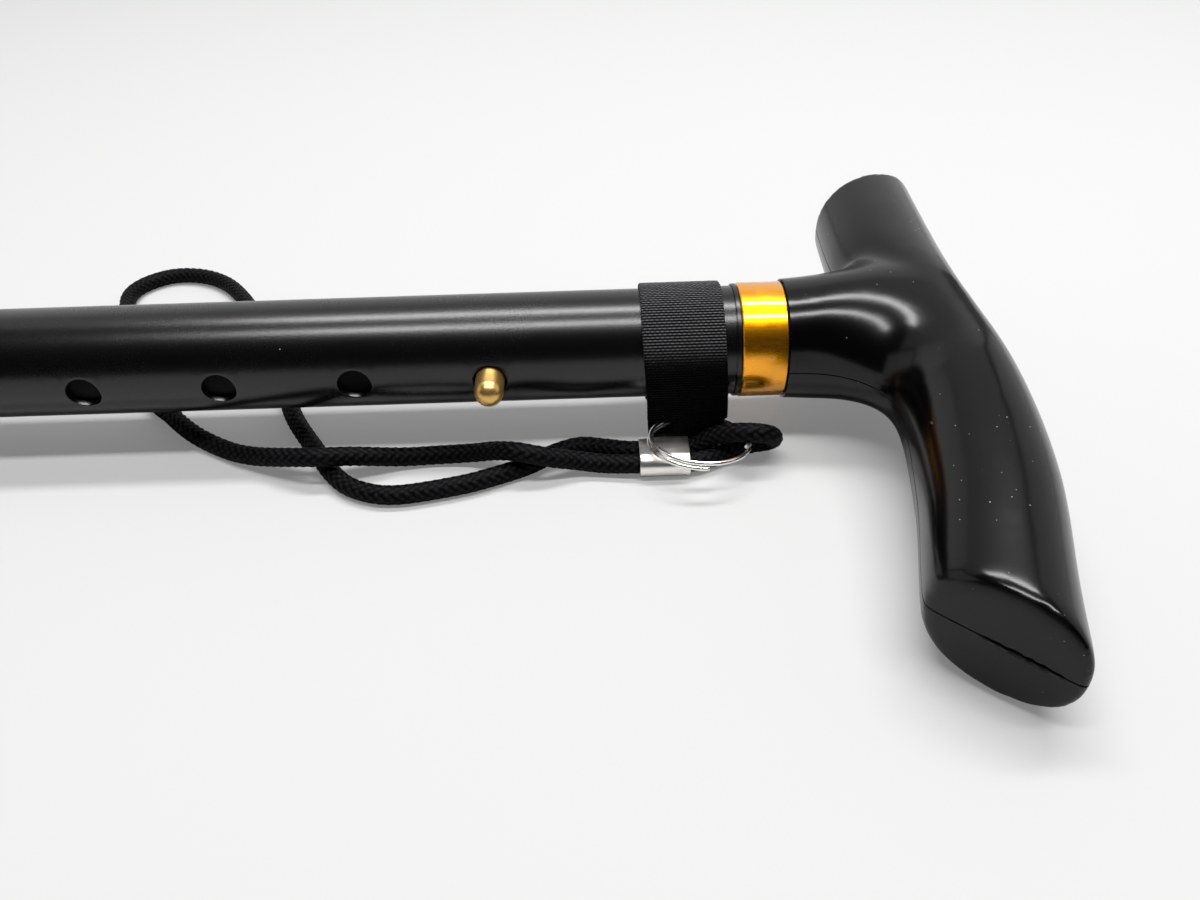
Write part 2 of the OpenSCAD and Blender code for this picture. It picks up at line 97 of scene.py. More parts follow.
class Sock:
    """A shader socket that takes part in Python arithmetic."""

    def __init__(self, shader: Shader, socket: bpy.types.NodeSocket | None) -> None:
        """Keeps the socket with the shader that it belongs to."""
        self.shader = shader
        self.socket = socket

    def out(self, name: str) -> Sock:
        """Returns another output of the same node."""
        return Sock(self.shader, self.socket.node.outputs[name])

    def maths(self, operation: str, *values: Value) -> Sock:
        """Adds a Math node.

        Args:
            operation: The node's operation.
            values: Its inputs in order.

        Returns:
            The node's result.
        """
        return self.shader.node("ShaderNodeMath", {"operation": operation}, dict(enumerate(values)))

    def __add__(self, other: Value) -> Sock:
        """Adds a value."""
        return self.maths("ADD", self, other)

    def __radd__(self, other: Value) -> Sock:
        """Adds to a value."""
        return self.maths("ADD", other, self)

    def __sub__(self, other: Value) -> Sock:
        """Takes a value away."""
        return self.maths("SUBTRACT", self, other)

    def __rsub__(self, other: Value) -> Sock:
        """Is taken away from a value."""
        return self.maths("SUBTRACT", other, self)

    def __mul__(self, other: Value) -> Sock:
        """Multiplies by a value."""
        return self.maths("MULTIPLY", self, other)

    def __rmul__(self, other: Value) -> Sock:
        """Multiplies a value."""
        return self.maths("MULTIPLY", other, self)

    def sine(self) -> Sock:
        """Returns the sine."""
        return self.maths("SINE", self)

    def ramp(self, low: float, high: float, start: float = 0.0, end: float = 1.0) -> Sock:
        """Eases from one value to another.

        Args:
            low: Where the ease starts.
            high: Where it ends.
            start: The result at low.
            end: The result at high.

        Returns:
            The eased value, clamped.
        """
        settings = {"interpolation_type": "SMOOTHSTEP"}
        links = {"Value": self, "From Min": low, "From Max": high, "To Min": start, "To Max": end}
        return self.shader.node("ShaderNodeMapRange", settings, links)


class Shader:
    """The nodes of a material or of the world."""

    def __init__(self, owner: bpy.types.Material | bpy.types.World) -> None:
        """Starts with an empty node tree.

        Args:
            owner: The material or world.
        """
        owner.use_nodes = True
        self.tree = owner.node_tree
        self.tree.nodes.clear()

    def node(self, kind: str, settings: dict[str, Any], links: dict[Any, Value], output: Any = 0) -> Sock:
        """Adds a node.

        Args:
            kind: The node's type.
            settings: Its properties, which are set first.
            links: Its inputs by name or place, as sockets or values.
            output: The output to return.

        Returns:
            That output, which is empty for the node that ends a tree.
        """
        made = self.tree.nodes.new(kind)
        for key, value in settings.items():
            setattr(made, key, value)
        for key, value in links.items():
            if isinstance(value, Sock):
                self.tree.links.new(value.socket, made.inputs[key])
            else:
                made.inputs[key].default_value = value
        return Sock(self, made.outputs[output] if made.outputs else None)

    def place(self) -> Sock:
        """Returns the place on the piece, in metres."""
        return self.node("ShaderNodeTexCoord", {}, {}, "Object")

    def attribute(self, name: str) -> Sock:
        """Returns a number kept on the mesh."""
        return self.node("ShaderNodeAttribute", {"attribute_name": name}, {}, "Fac")

    def stretched(self, scale: Sequence[float]) -> Sock:
        """Returns the place on the piece times a scale for each axis."""
        return self.node("ShaderNodeMapping", {}, {"Vector": self.place(), "Scale": scale})

    def grain(self, scale: float, detail: float = 2.0, where: Sock | None = None) -> Sock:
        """Returns noise with this many waves to the metre.

        Args:
            scale: Waves to the metre.
            detail: Octaves of noise.
            where: The place to read, or none for the place on the piece.

        Returns:
            The noise from 0 to 1.
        """
        links = {"Vector": where or self.place(), "Scale": scale, "Detail": detail}
        return self.node("ShaderNodeTexNoise", {}, links, "Fac")

    def specks(self, scale: float, radius: float, share: float) -> Sock:
        """Returns a mask of scattered round specks.

        Args:
            scale: Cells to the metre.
            radius: Radius of a speck in cells.
            share: Share of the cells that hold one.

        Returns:
            The mask from 0 to 1.
        """
        cells = self.node("ShaderNodeTexVoronoi", {}, {"Vector": self.place(), "Scale": scale}, "Distance")
        chosen = self.node("ShaderNodeSeparateColor", {}, {"Color": cells.out("Color")}, "Red")
        size = radius * chosen.ramp(1 - share, 1.0)
        return (size - cells).ramp(0.0, 0.3 * radius)

    def mixed(self, share: Value, first: Sock | Colour, second: Colour) -> Sock:
        """Returns a mix of two colours.

        Args:
            share: Share of the second colour.
            first: The colour at 0, or the socket that gives it.
            second: The colour at 1.

        Returns:
            The mixed colour.
        """
        start = first if isinstance(first, Sock) else (*first, 1.0)
        links = {0: share, 6: start, 7: (*second, 1.0)}
        return self.node("ShaderNodeMix", {"data_type": "RGBA"}, links, 2)

    def bumped(self, height: Sock, depth: float, strength: float = 1.0) -> Sock:
        """Returns a normal raised by a height.

        Args:
            height: The height from 0 to 1.
            depth: What a height of 1 measures in metres.
            strength: Share of the effect.

        Returns:
            The normal.
        """
        return self.node("ShaderNodeBump", {}, {"Strength": strength, "Distance": depth, "Height": height})

    def surface(self, links: dict[str, Value]) -> None:
        """Ends the material in a Principled shader with these inputs."""
        self.end(self.node("ShaderNodeBsdfPrincipled", {}, links))

    def end(self, surface: Sock, kind: str = "ShaderNodeOutputMaterial") -> None:
        """Joins a surface to the output of the material or world."""
        self.node(kind, {}, {"Surface": surface})


@dataclass(frozen=True)
class Finish:
    """A finish, which makes its material once."""

    name: str
    slot: str

    def material(self) -> bpy.types.Material:
        """Returns the finish's material."""
        found = bpy.data.materials.get(self.name)
        if found:
            return found
        made = bpy.data.materials.new(self.name)
        self.paint(Shader(made))
        return made

    def paint(self, shader: Shader) -> None:
        """Builds the nodes of a finish."""
        raise NotImplementedError


@dataclass(frozen=True)
class GlossMoulding(Finish):
    """Polished black plastic with faint ripples, dust and dull cut ends."""

    colour: Colour = (0.0006, 0.0006, 0.0009)
    dull: Colour = (0.005, 0.0047, 0.006)
    dust: Colour = (0.3, 0.3, 0.31)

    def paint(self, shader: Shader) -> None:
        """Builds the nodes of the finish.

        Args:
            shader: The material's nodes.
        """
        end = shader.attribute("cut_end")
        haze = shader.grain(60, 3)
        fine = shader.grain(2600, 2)
        dust = shader.specks(900, 0.12, 0.5) * shader.grain(70, 2).ramp(0.46, 0.58)
        colour = shader.mixed(dust, shader.mixed(end, self.colour, self.dull), self.dust)
        rough = 0.15 + 0.08 * haze + 0.3 * end + 0.3 * dust
        ripple = shader.grain(170, 2) + 0.05 * fine
        shader.surface({
            "Base Color": colour, "Roughness": rough, "IOR": 1.5, "Specular IOR Level": 0.3,
            "Normal": shader.bumped(ripple, 0.05 * MM, 0.6)})


@dataclass(frozen=True)
class SatinTube(Finish):
    """Black satin coat on aluminium with a fine sparkle and a little dust."""

    rough: float = 0.2
    gloss: float = 0.5
    colour: Colour = (0.0006, 0.0006, 0.0009)
    dust: Colour = (0.5, 0.5, 0.51)

    def paint(self, shader: Shader) -> None:
        """Builds the nodes of the finish.

        Args:
            shader: The material's nodes.
        """
        fine = shader.grain(5200, 2)
        dust = shader.specks(210, 0.05, 0.25)
        rough = self.rough + 0.07 * fine + 0.05 * shader.grain(90, 3)
        shader.surface({
            "Base Color": shader.mixed(dust, self.colour, self.dust), "Roughness": rough, "IOR": 1.5,
            "Specular IOR Level": self.gloss, "Normal": shader.bumped(fine, 0.012 * MM, 0.7)})


@dataclass(frozen=True)
class TurnedMetal(Finish):
    """Bright metal with fine drawn or turned marks and faint stains."""

    colour: Colour
    stain: Colour
    rough: float
    marks: float = 0.006
    stains: float = 0.35
    stretch: tuple[float, float, float] = (9000, 350, 350)
    coat: float = 0.0

    def paint(self, shader: Shader) -> None:
        """Builds the nodes of the finish.

        Args:
            shader: The material's nodes.
        """
        lines = shader.grain(1.0, 3, shader.stretched(self.stretch))
        cloud = shader.grain(230, 4).ramp(0.48, 0.75)
        shader.surface({
            "Base Color": shader.mixed(cloud * self.stains, self.colour, self.stain), "Metallic": 1.0,
            "Roughness": self.rough + 0.08 * lines + 0.1 * cloud, "Coat Weight": self.coat,
            "Coat Roughness": 0.07, "Normal": shader.bumped(lines, self.marks * MM)})


@dataclass(frozen=True)
class GrainedPlastic(Finish):
    """Matt black plastic or rubber with a fine grain and a bloom of wear."""

    colour: Colour
    bloom: Colour
    rough: float
    grain_scale: float = 1500
    depth: float = 0.04

    def paint(self, shader: Shader) -> None:
        """Builds the nodes of the finish.

        Args:
            shader: The material's nodes.
        """
        grain = shader.grain(self.grain_scale, 3)
        bloom = shader.grain(70, 4).ramp(0.45, 0.8)
        shader.surface({
            "Base Color": shader.mixed(bloom * 0.6, self.colour, self.bloom),
            "Roughness": self.rough + 0.15 * grain, "Specular IOR Level": 0.35,
            "Normal": shader.bumped(grain, self.depth * MM)})


@dataclass(frozen=True)
class Thread(Finish):
    """Black yarn: fine fibres across the strands of a braid or weave, with pale lint and a painted highlight
    on the raised strands.
    """

    colour: Colour
    # light: the painted highlight colour that the raised strands are mixed towards
    light: Colour
    stitch: float = 0.0
    lint: Colour = (0.32, 0.32, 0.33)

    def paint(self, shader: Shader) -> None:
        """Builds the nodes of the finish.

        Args:
            shader: The material's nodes.
        """
        raised = shader.attribute("raised")
        fibre = shader.grain(5200, 3)
        lint = shader.specks(420, 0.07, 0.2)
        # painted highlight: the raised strands and rib tops are mixed towards the light colour
        top = (raised * 0.8 + fibre * 0.35).ramp(0.58, 1.08)
        height = fibre
        if self.stitch:
            across = shader.node("ShaderNodeSeparateXYZ", {}, {"Vector": shader.place()}, "X")
            phase = across * (TAU / self.stitch / MM) + shader.attribute("turn") * math.pi
            knots = phase.sine() * 0.5 + 0.5
            top = top * knots.ramp(0.1, 0.8, 0.45, 1.0)
            height = fibre * 0.3 + knots
        colour = shader.mixed(lint, shader.mixed(top, self.colour, self.light), self.lint)
        shader.surface({
            "Base Color": colour, "Roughness": 0.42 + 0.2 * fibre, "Specular IOR Level": 0.06,
            "Normal": shader.bumped(height, 0.07 * MM)})


@dataclass(frozen=True)
class StudioPaper(Finish):
    """White paper under the cane, kept pale for the camera."""

    colour: Colour = (0.505, 0.508, 0.503)
    lift: float = 0.18

    def paint(self, shader: Shader) -> None:
        """Builds the nodes of the finish.

        Args:
            shader: The material's nodes.
        """
        paper = shader.node("ShaderNodeBsdfDiffuse", {}, {"Color": (*self.colour, 1.0)})
        glow = shader.node("ShaderNodeEmission", {}, {"Color": (1.0, 1.0, 1.0, 1.0), "Strength": 1.0})
        path = shader.node("ShaderNodeLightPath", {}, {}, "Is Camera Ray")
        shader.end(shader.node("ShaderNodeMixShader", {}, {0: path * self.lift, 1: paper, 2: glow}))


HANDLE_PLASTIC = GlossMoulding("handle_gloss", "handle_moulding")
TUBE_COAT = SatinTube("tube_satin", "black_tube")
GOLD = TurnedMetal("collar_gold", "gold_collar", (1.0, 0.4, 0.006), (0.7, 0.22, 0.004), rough=0.24,
                   marks=0.004, stains=0.14, stretch=(120, 5000, 5000), coat=0.8)
BRASS = TurnedMetal("button_brass", "button_brass", (0.74, 0.44, 0.13), (0.36, 0.18, 0.05), rough=0.26)
NICKEL = TurnedMetal("plated_nickel", "nickel_plate", (0.9, 0.88, 0.85), (0.5, 0.46, 0.42), rough=0.17)
CRIMP = TurnedMetal("drawn_nickel", "nickel_plate", (0.92, 0.88, 0.85), (0.5, 0.43, 0.4), rough=0.25,
                    marks=0.012, stains=0.5)
WASHER = SatinTube("washer_satin", "black_plastic")
HOLE_EDGE = SatinTube("hole_edge", "black_tube", rough=0.5, gloss=0.1)
SLIDER_COAT = SatinTube("slider_matt", "black_tube", rough=0.5, gloss=0.08)
SPRING = TurnedMetal("spring_leaf", "spring_steel", (0.5, 0.51, 0.53), (0.25, 0.22, 0.2), rough=0.28)
MATT_BLACK = GrainedPlastic("matt_moulding", "black_plastic", (0.004, 0.004, 0.0045), (0.011, 0.011, 0.012),
                            rough=0.36)
RUBBER = GrainedPlastic("foot_rubber", "tip_rubber", (0.01, 0.01, 0.01), (0.035, 0.034, 0.033), rough=0.6,
                        grain_scale=900, depth=0.06)
# The second colour of each yarn is the painted highlight on its raised strands.
WEBBING = Thread("band_yarn", "band_webbing", (0.0004, 0.0004, 0.0006), (0.16, 0.16, 0.166), stitch=0.9)
BRAID = Thread("cord_yarn", "braided_cord", (0.0004, 0.0004, 0.0006), (0.011, 0.011, 0.0125))
ELASTIC = Thread("elastic_yarn", "elastic_braid", (0.02, 0.02, 0.021), (0.09, 0.09, 0.092))
PAPER = StudioPaper("studio_paper", "")


def eased(value: float, low: float, high: float) -> float:
    """Returns a smooth step.

    Args:
        value: The place to read.
        low: Where the step starts.
        high: Where it ends.

    Returns:
        0 before low, 1 after high and a smooth rise between.
    """
    share = min(max((value - low) / (high - low), 0.0), 1.0)
    return share * share * (3 - 2 * share)


def along(points: Sequence[Vector], share: float) -> Vector:
    """Returns a place on the smooth curve through points.

    Args:
        points: The points that the curve passes.
        share: The place, counted in points.

    Returns:
        The place on the curve.
    """
    last = len(points) - 1
    i = min(int(share), last - 1)
    t = share - i
    a, b, c, d = (points[min(max(i + k, 0), last)] for k in (-1, 0, 1, 2))
    return b + 0.5 * t * (c - a + t * (2 * a - 5 * b + 4 * c - d + t * (3 * (b - c) + d - a)))


def even_path(points: Sequence[Vector], step: float, fine: int = 24) -> list[Vector]:
    """Returns evenly spaced places on the smooth curve through points.

    Args:
        points: The points that the curve passes.
        step: About how far apart the places are.
        fine: Samples for each pair of points.

    Returns:
        The places, from the first point to the last.
    """
    last = len(points) - 1
    dense = [along(points, last * i / (last * fine)) for i in range(last * fine + 1)]
    reach = [0.0]
    for a, b in zip(dense, dense[1:]):
        reach.append(reach[-1] + (b - a).length)
    count = max(2, round(reach[-1] / step))
    path, k = [], 0
    for i in range(count + 1):
        want = reach[-1] * i / count
        while k < len(dense) - 2 and reach[k + 1] < want:
            k += 1
        span = reach[k + 1] - reach[k]
        path.append(dense[k].lerp(dense[k + 1], (want - reach[k]) / span if span else 0.0))
    return path


def side_directions(path: Sequence[Vector]) -> list[tuple[Vector, Vector]]:
    """Returns two directions across a path at each of its places, which don't twist.

    Args:
        path: The places.

    Returns:
        A pair of unit vectors across the path for each place.
    """
    pairs = []
    side = None
    for i, _ in enumerate(path):
        ahead = (path[min(i + 1, len(path) - 1)] - path[max(i - 1, 0)]).normalized()
        if side is None:
            side = ahead.cross(Vector((0, 0, 1)))
        side = (side - ahead * side.dot(ahead)).normalized()
        pairs.append((side, side.cross(ahead)))
    return pairs


def rolled(columns: int, rows: int, place: Callable[[int, int], Vector], round_rows: bool = True,
           round_columns: bool = False, **layers: Callable[[int, int], float]) -> bmesh.types.BMesh:
    """Rolls or folds a flat grid into a shape.

    Args:
        columns: Faces along the sheet.
        rows: Faces across it.
        place: The place of the grid's point at a column and a row.
        round_rows: Whether the last row meets the first.
        round_columns: Whether the last column meets the first.
        layers: Numbers to keep at each point for its finish, by their names.

    Returns:
        The shape, with its seams closed.
    """
    bm = bmesh.new()
    bmesh.ops.create_grid(bm, x_segments=columns, y_segments=rows, size=0.5)
    kept = {name: bm.verts.layers.float.new(name) for name in layers}
    for vert in bm.verts:
        i = round((vert.co.x + 0.5) * columns)
        j = round((vert.co.y + 0.5) * rows)
        i_read = i % columns if round_columns else i
        j_read = j % rows if round_rows else j
        for name, layer in kept.items():
            vert[layer] = layers[name](i_read, j_read)
        vert.co = place(i_read, j_read)
    if round_rows or round_columns:
        bmesh.ops.remove_doubles(bm, verts=bm.verts[:], dist=SEAM)
    return bm


def turned(profile: Sequence[tuple[float, float]], steps: int = 96, edge: float = 0.0,
           segments: int = 2) -> bmesh.types.BMesh:
    """Spins a closed profile about the X axis.

    Args:
        profile: Places along the axis and radii, joined in a ring.
        steps: Faces round the axis.
        edge: Width of the bevel on the sharp edges, or 0 for none.
        segments: Faces across that bevel.

    Returns:
        The turned solid.
    """
    bm = bmesh.new()
    verts = [bm.verts.new((x, 0.0, r)) for x, r in profile]
    for a, b in zip(verts, verts[1:] + verts[:1]):
        if a.co.z > 0 or b.co.z > 0:
            bm.edges.new((a, b))
    bmesh.ops.spin(bm, geom=bm.verts[:] + bm.edges[:], axis=(1, 0, 0), cent=(0, 0, 0), angle=TAU, steps=steps,
                   use_merge=True)
    bmesh.ops.remove_doubles(bm, verts=bm.verts[:], dist=SEAM)
    bmesh.ops.recalc_face_normals(bm, faces=bm.faces[:])
    if edge:
        sharp = [e for e in bm.edges if len(e.link_faces) == 2 and e.calc_face_angle() > SHARP]
        bmesh.ops.bevel(bm, geom=sharp, offset=edge, segments=segments, profile=0.5, affect="EDGES",
                        material=-1)
    return bm


def closed(bm: bmesh.types.BMesh) -> bmesh.types.BMesh:
    """Fills a shape's open ends and turns its faces outwards.

    Args:
        bm: The shape.

    Returns:
        The same shape.
    """
    bmesh.ops.holes_fill(bm, edges=[e for e in bm.edges if e.is_boundary])
    bmesh.ops.recalc_face_normals(bm, faces=bm.faces[:])
    return bm


def swept(path: Sequence[Vector], rows: int, reach: Callable[[int, int], float],
          **layers: Callable[[int, int], float]) -> bmesh.types.BMesh:
    """Sweeps a round section along a path.

    Args:
        path: The places.
        rows: Faces round the section.
        reach: The section's radius at a place and a row.
        layers: Numbers to keep at each point for its finish, by their names.

    Returns:
        The closed shape.
    """
    sides = side_directions(path)

    def place(i: int, j: int) -> Vector:
        """Returns the point at a place and a row."""
        side, up = sides[i]
        return path[i] + reach(i, j) * (math.cos(TAU * j / rows) * up + math.sin(TAU * j / rows) * side)

    return closed(rolled(len(path) - 1, rows, place, **layers))


def smooth(bm: bmesh.types.BMesh, verts: Sequence[bmesh.types.BMVert], passes: int) -> None:
    """Smooths points of a shape.

    Args:
        bm: The shape.
        verts: The points.
        passes: Smoothing passes.
    """
    for _ in range(passes):
        bmesh.ops.smooth_vert(bm, verts=verts, factor=0.5, use_axis_x=True, use_axis_y=True,
                              use_axis_z=True)


def cut(bm: bmesh.types.BMesh, place: Sequence[float], way: Sequence[float], clear: bool = True) -> None:
    """Cuts a shape along a plane.

    Args:
        bm: The shape.
        place: A point of the plane.
        way: The side that stays.
        clear: Whether the other side is cleared away.
    """
    bmesh.ops.bisect_plane(bm, geom=bm.verts[:] + bm.edges[:] + bm.faces[:], dist=1e-4, plane_co=place,
                           plane_no=way, clear_inner=clear)


def cap(bm: bmesh.types.BMesh) -> None:
    """Fills a shape's open cuts with small faces."""
    bmesh.ops.holes_fill(bm, edges=[e for e in bm.edges if e.is_boundary])
    bmesh.ops.triangulate(bm, faces=[f for f in bm.faces if len(f.verts) > 4])


def as_mesh(name: str, bm: bmesh.types.BMesh) -> bpy.types.Mesh:
    """Makes a mesh from a shape.

    Args:
        name: The mesh's name.
        bm: The shape, which is freed.

    Returns:
        The mesh.
    """
    mesh = bpy.data.meshes.new(name)
    bm.to_mesh(mesh)
    bm.free()
    return mesh


def in_scene(name: str, data: bpy.types.ID) -> bpy.types.Object:
    """Adds an object to the scene.

    Args:
        name: The object's name.
        data: Its mesh, lamp or camera.

    Returns:
        The object.
    """
    made = bpy.data.objects.new(name, data)
    bpy.context.scene.collection.objects.link(made)
    return made


def add_piece(name: str, bm: bmesh.types.BMesh, finishes: Sequence[Finish], body: Body | None,
              replaces: Iterable[str] = (), crease: float = 35.0) -> bpy.types.Object:
    """Makes a piece of the cane from a mesh.

    Args:
        name: The piece's name.
        bm: Its shape, which is freed.
        finishes: Its finishes, by the shape's material numbers.
        body: The body that it rides on, or none.
        replaces: The nodes that it stands for.
        crease: Edges that turn by more than this many degrees stay sharp.

    Returns:
        The piece.
    """
    mesh = as_mesh(name, bm)
    piece = in_scene(name, mesh)
    for finish in finishes:
        mesh.materials.append(finish.material())
    mesh.shade_smooth()
    mesh.set_sharp_from_angle(angle=math.radians(crease))
    if body:
        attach(piece, body.value)
    if replaces:
        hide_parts(*replaces)
    LOG.info("%s: %d faces", name, len(mesh.polygons))
    return piece


@dataclass(frozen=True)
class Layout:
    """Places along the shaft, read from the frame."""

    collar_x: float
    neck_x: float
    tube_r: float
    tube_start: float
    tube_end: float
    lower_r: float
    button_x: float
    ground: float
    mouths: tuple[float, float, float]
    roll: float = math.radians(5)

    @classmethod
    def read(cls) -> Layout:
        """Reads the places from the nodes' boxes."""
        collar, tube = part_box("collar_ring"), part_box("handle_tube")
        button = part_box("snap_button")
        return cls(
            collar_x=collar[0][0], neck_x=collar[1][0], tube_r=tube[1][2], tube_start=tube[0][0],
            tube_end=tube[1][0], lower_r=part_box("tube_2")[1][2], button_x=(button[0][0] + button[1][0]) / 2,
            ground=-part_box("rubber_tip")[0][2],
            mouths=tuple(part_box(f"tube_{i}")[1][0] for i in (2, 3, 4)))

    def on_table(self, point: Sequence[float]) -> Vector:
        """Returns the place of a point given from the collar, the axis and the table in millimetres."""
        x, y, h = point
        return Vector((self.collar_x + x * MM, y * MM, h * MM - self.ground))

    def button_side(self) -> Vector:
        """Returns the way out of the shaft on the button's side."""
        return Vector((0, -math.cos(self.roll), -math.sin(self.roll)))

    def outwards(self) -> Matrix:
        """Returns the turn from the X axis to the button's side of the shaft."""
        return Vector((1, 0, 0)).rotation_difference(self.button_side()).to_matrix().to_4x4()


@dataclass
class Studio:
    """Paper floor, soft light and the camera at the photograph's place."""

    floor_z: float
    lens: float = 30.93
    sensor: float = 36.0
    nearest: float = 0.01
    stand: tuple[float, float, float] = (0.7630, -0.1719, 0.1059)
    dip: float = math.radians(37.5)
    tilt: float = math.radians(1.85)
    floor_half: float = 4.0
    floor_x: float = 0.4
    sky: float = 0.04
    backdrop: float = 0.93

    def camera(self) -> None:
        """Stands the camera in front of the cane, looking down at it."""
        ahead = Vector((0, math.cos(self.dip), -math.sin(self.dip)))
        down = Vector((0, -math.sin(self.dip), -math.cos(self.dip)))
        right = math.cos(self.tilt) * Vector((1, 0, 0)) + math.sin(self.tilt) * down
        up = math.sin(self.tilt) * Vector((1, 0, 0)) - math.cos(self.tilt) * down
        data = bpy.data.cameras.new("camera")
        data.lens = self.lens
        data.sensor_width = self.sensor
        data.clip_start = self.nearest
        camera = in_scene("camera", data)
        turn = Matrix((right, up, -ahead)).transposed().to_4x4()
        camera.matrix_world = Matrix.Translation(self.stand) @ turn
        bpy.context.scene.camera = camera

    def floor(self) -> None:
        """Lays the paper that the cane rests on."""
        bm = bmesh.new()
        bmesh.ops.create_grid(bm, x_segments=2, y_segments=2, size=self.floor_half)
        bmesh.ops.translate(bm, verts=bm.verts[:], vec=(self.floor_x, 0, self.floor_z))
        paper = in_scene("paper", as_mesh("paper", bm))
        paper.data.materials.append(PAPER.material())

    def lamp(self, name: str, place: Sequence[float], aim: Sequence[float], size: tuple[float, float],
             power: float) -> None:
        """Hangs a rectangular soft lamp.

        Args:
            name: The lamp's name.
            place: Where it hangs.
            aim: The point that it faces.
            size: Its width and height.
            power: Its power in watts.
        """
        data = bpy.data.lights.new(name, "AREA")
        data.shape = "RECTANGLE"
        data.size, data.size_y = size
        data.energy = power
        lamp = in_scene(name, data)
        way = Vector(aim) - Vector(place)
        lamp.matrix_world = Matrix.Translation(place) @ way.to_track_quat("-Z", "Y").to_matrix().to_4x4()

    def world(self) -> None:
        """Fills the shade with a plain grey sky that the camera sees as pale."""
        world = bpy.data.worlds.new("studio")
        bpy.context.scene.world = world
        shader = Shader(world)
        seen = shader.node("ShaderNodeLightPath", {}, {}, "Is Camera Ray")
        levels = {0: seen, 2: self.sky, 3: self.backdrop}
        level = shader.node("ShaderNodeMix", {"data_type": "FLOAT"}, levels)
        sky = shader.node("ShaderNodeBackground", {}, {"Strength": level})
        shader.end(sky, "ShaderNodeOutputWorld")

    def build(self) -> None:
        """Sets up the camera, floor and light."""
        self.camera()
        self.floor()
        self.lamp("back_strip", (0.845, 0.25, 0.82), (0.845, 0.0, 0.0), (0.85, 0.11), 7.2)
        self.lamp("top_strip", (0.845, -0.19, 0.82), (0.845, 0.0, 0.0), (0.85, 0.09), 6.6)
        self.lamp("ceiling", (0.5, 0.75, 1.1), (0.5, 0.75, 0.0), (2.4, 0.9), 3.8)
        self.lamp("back_wall", (0.5, 1.25, 0.55), (0.5, 0.0, 0.55), (2.4, 1.1), 6.6)
        self.lamp("right_wall", (1.75, 0.4, 0.5), (0.5, 0.4, 0.5), (1.5, 1.0), 3.2)
        self.lamp("left_wall", (-0.75, 0.4, 0.5), (0.5, 0.4, 0.5), (1.5, 1.0), 3.2)
        self.world()
        bpy.context.scene.view_settings.view_transform = "Standard"


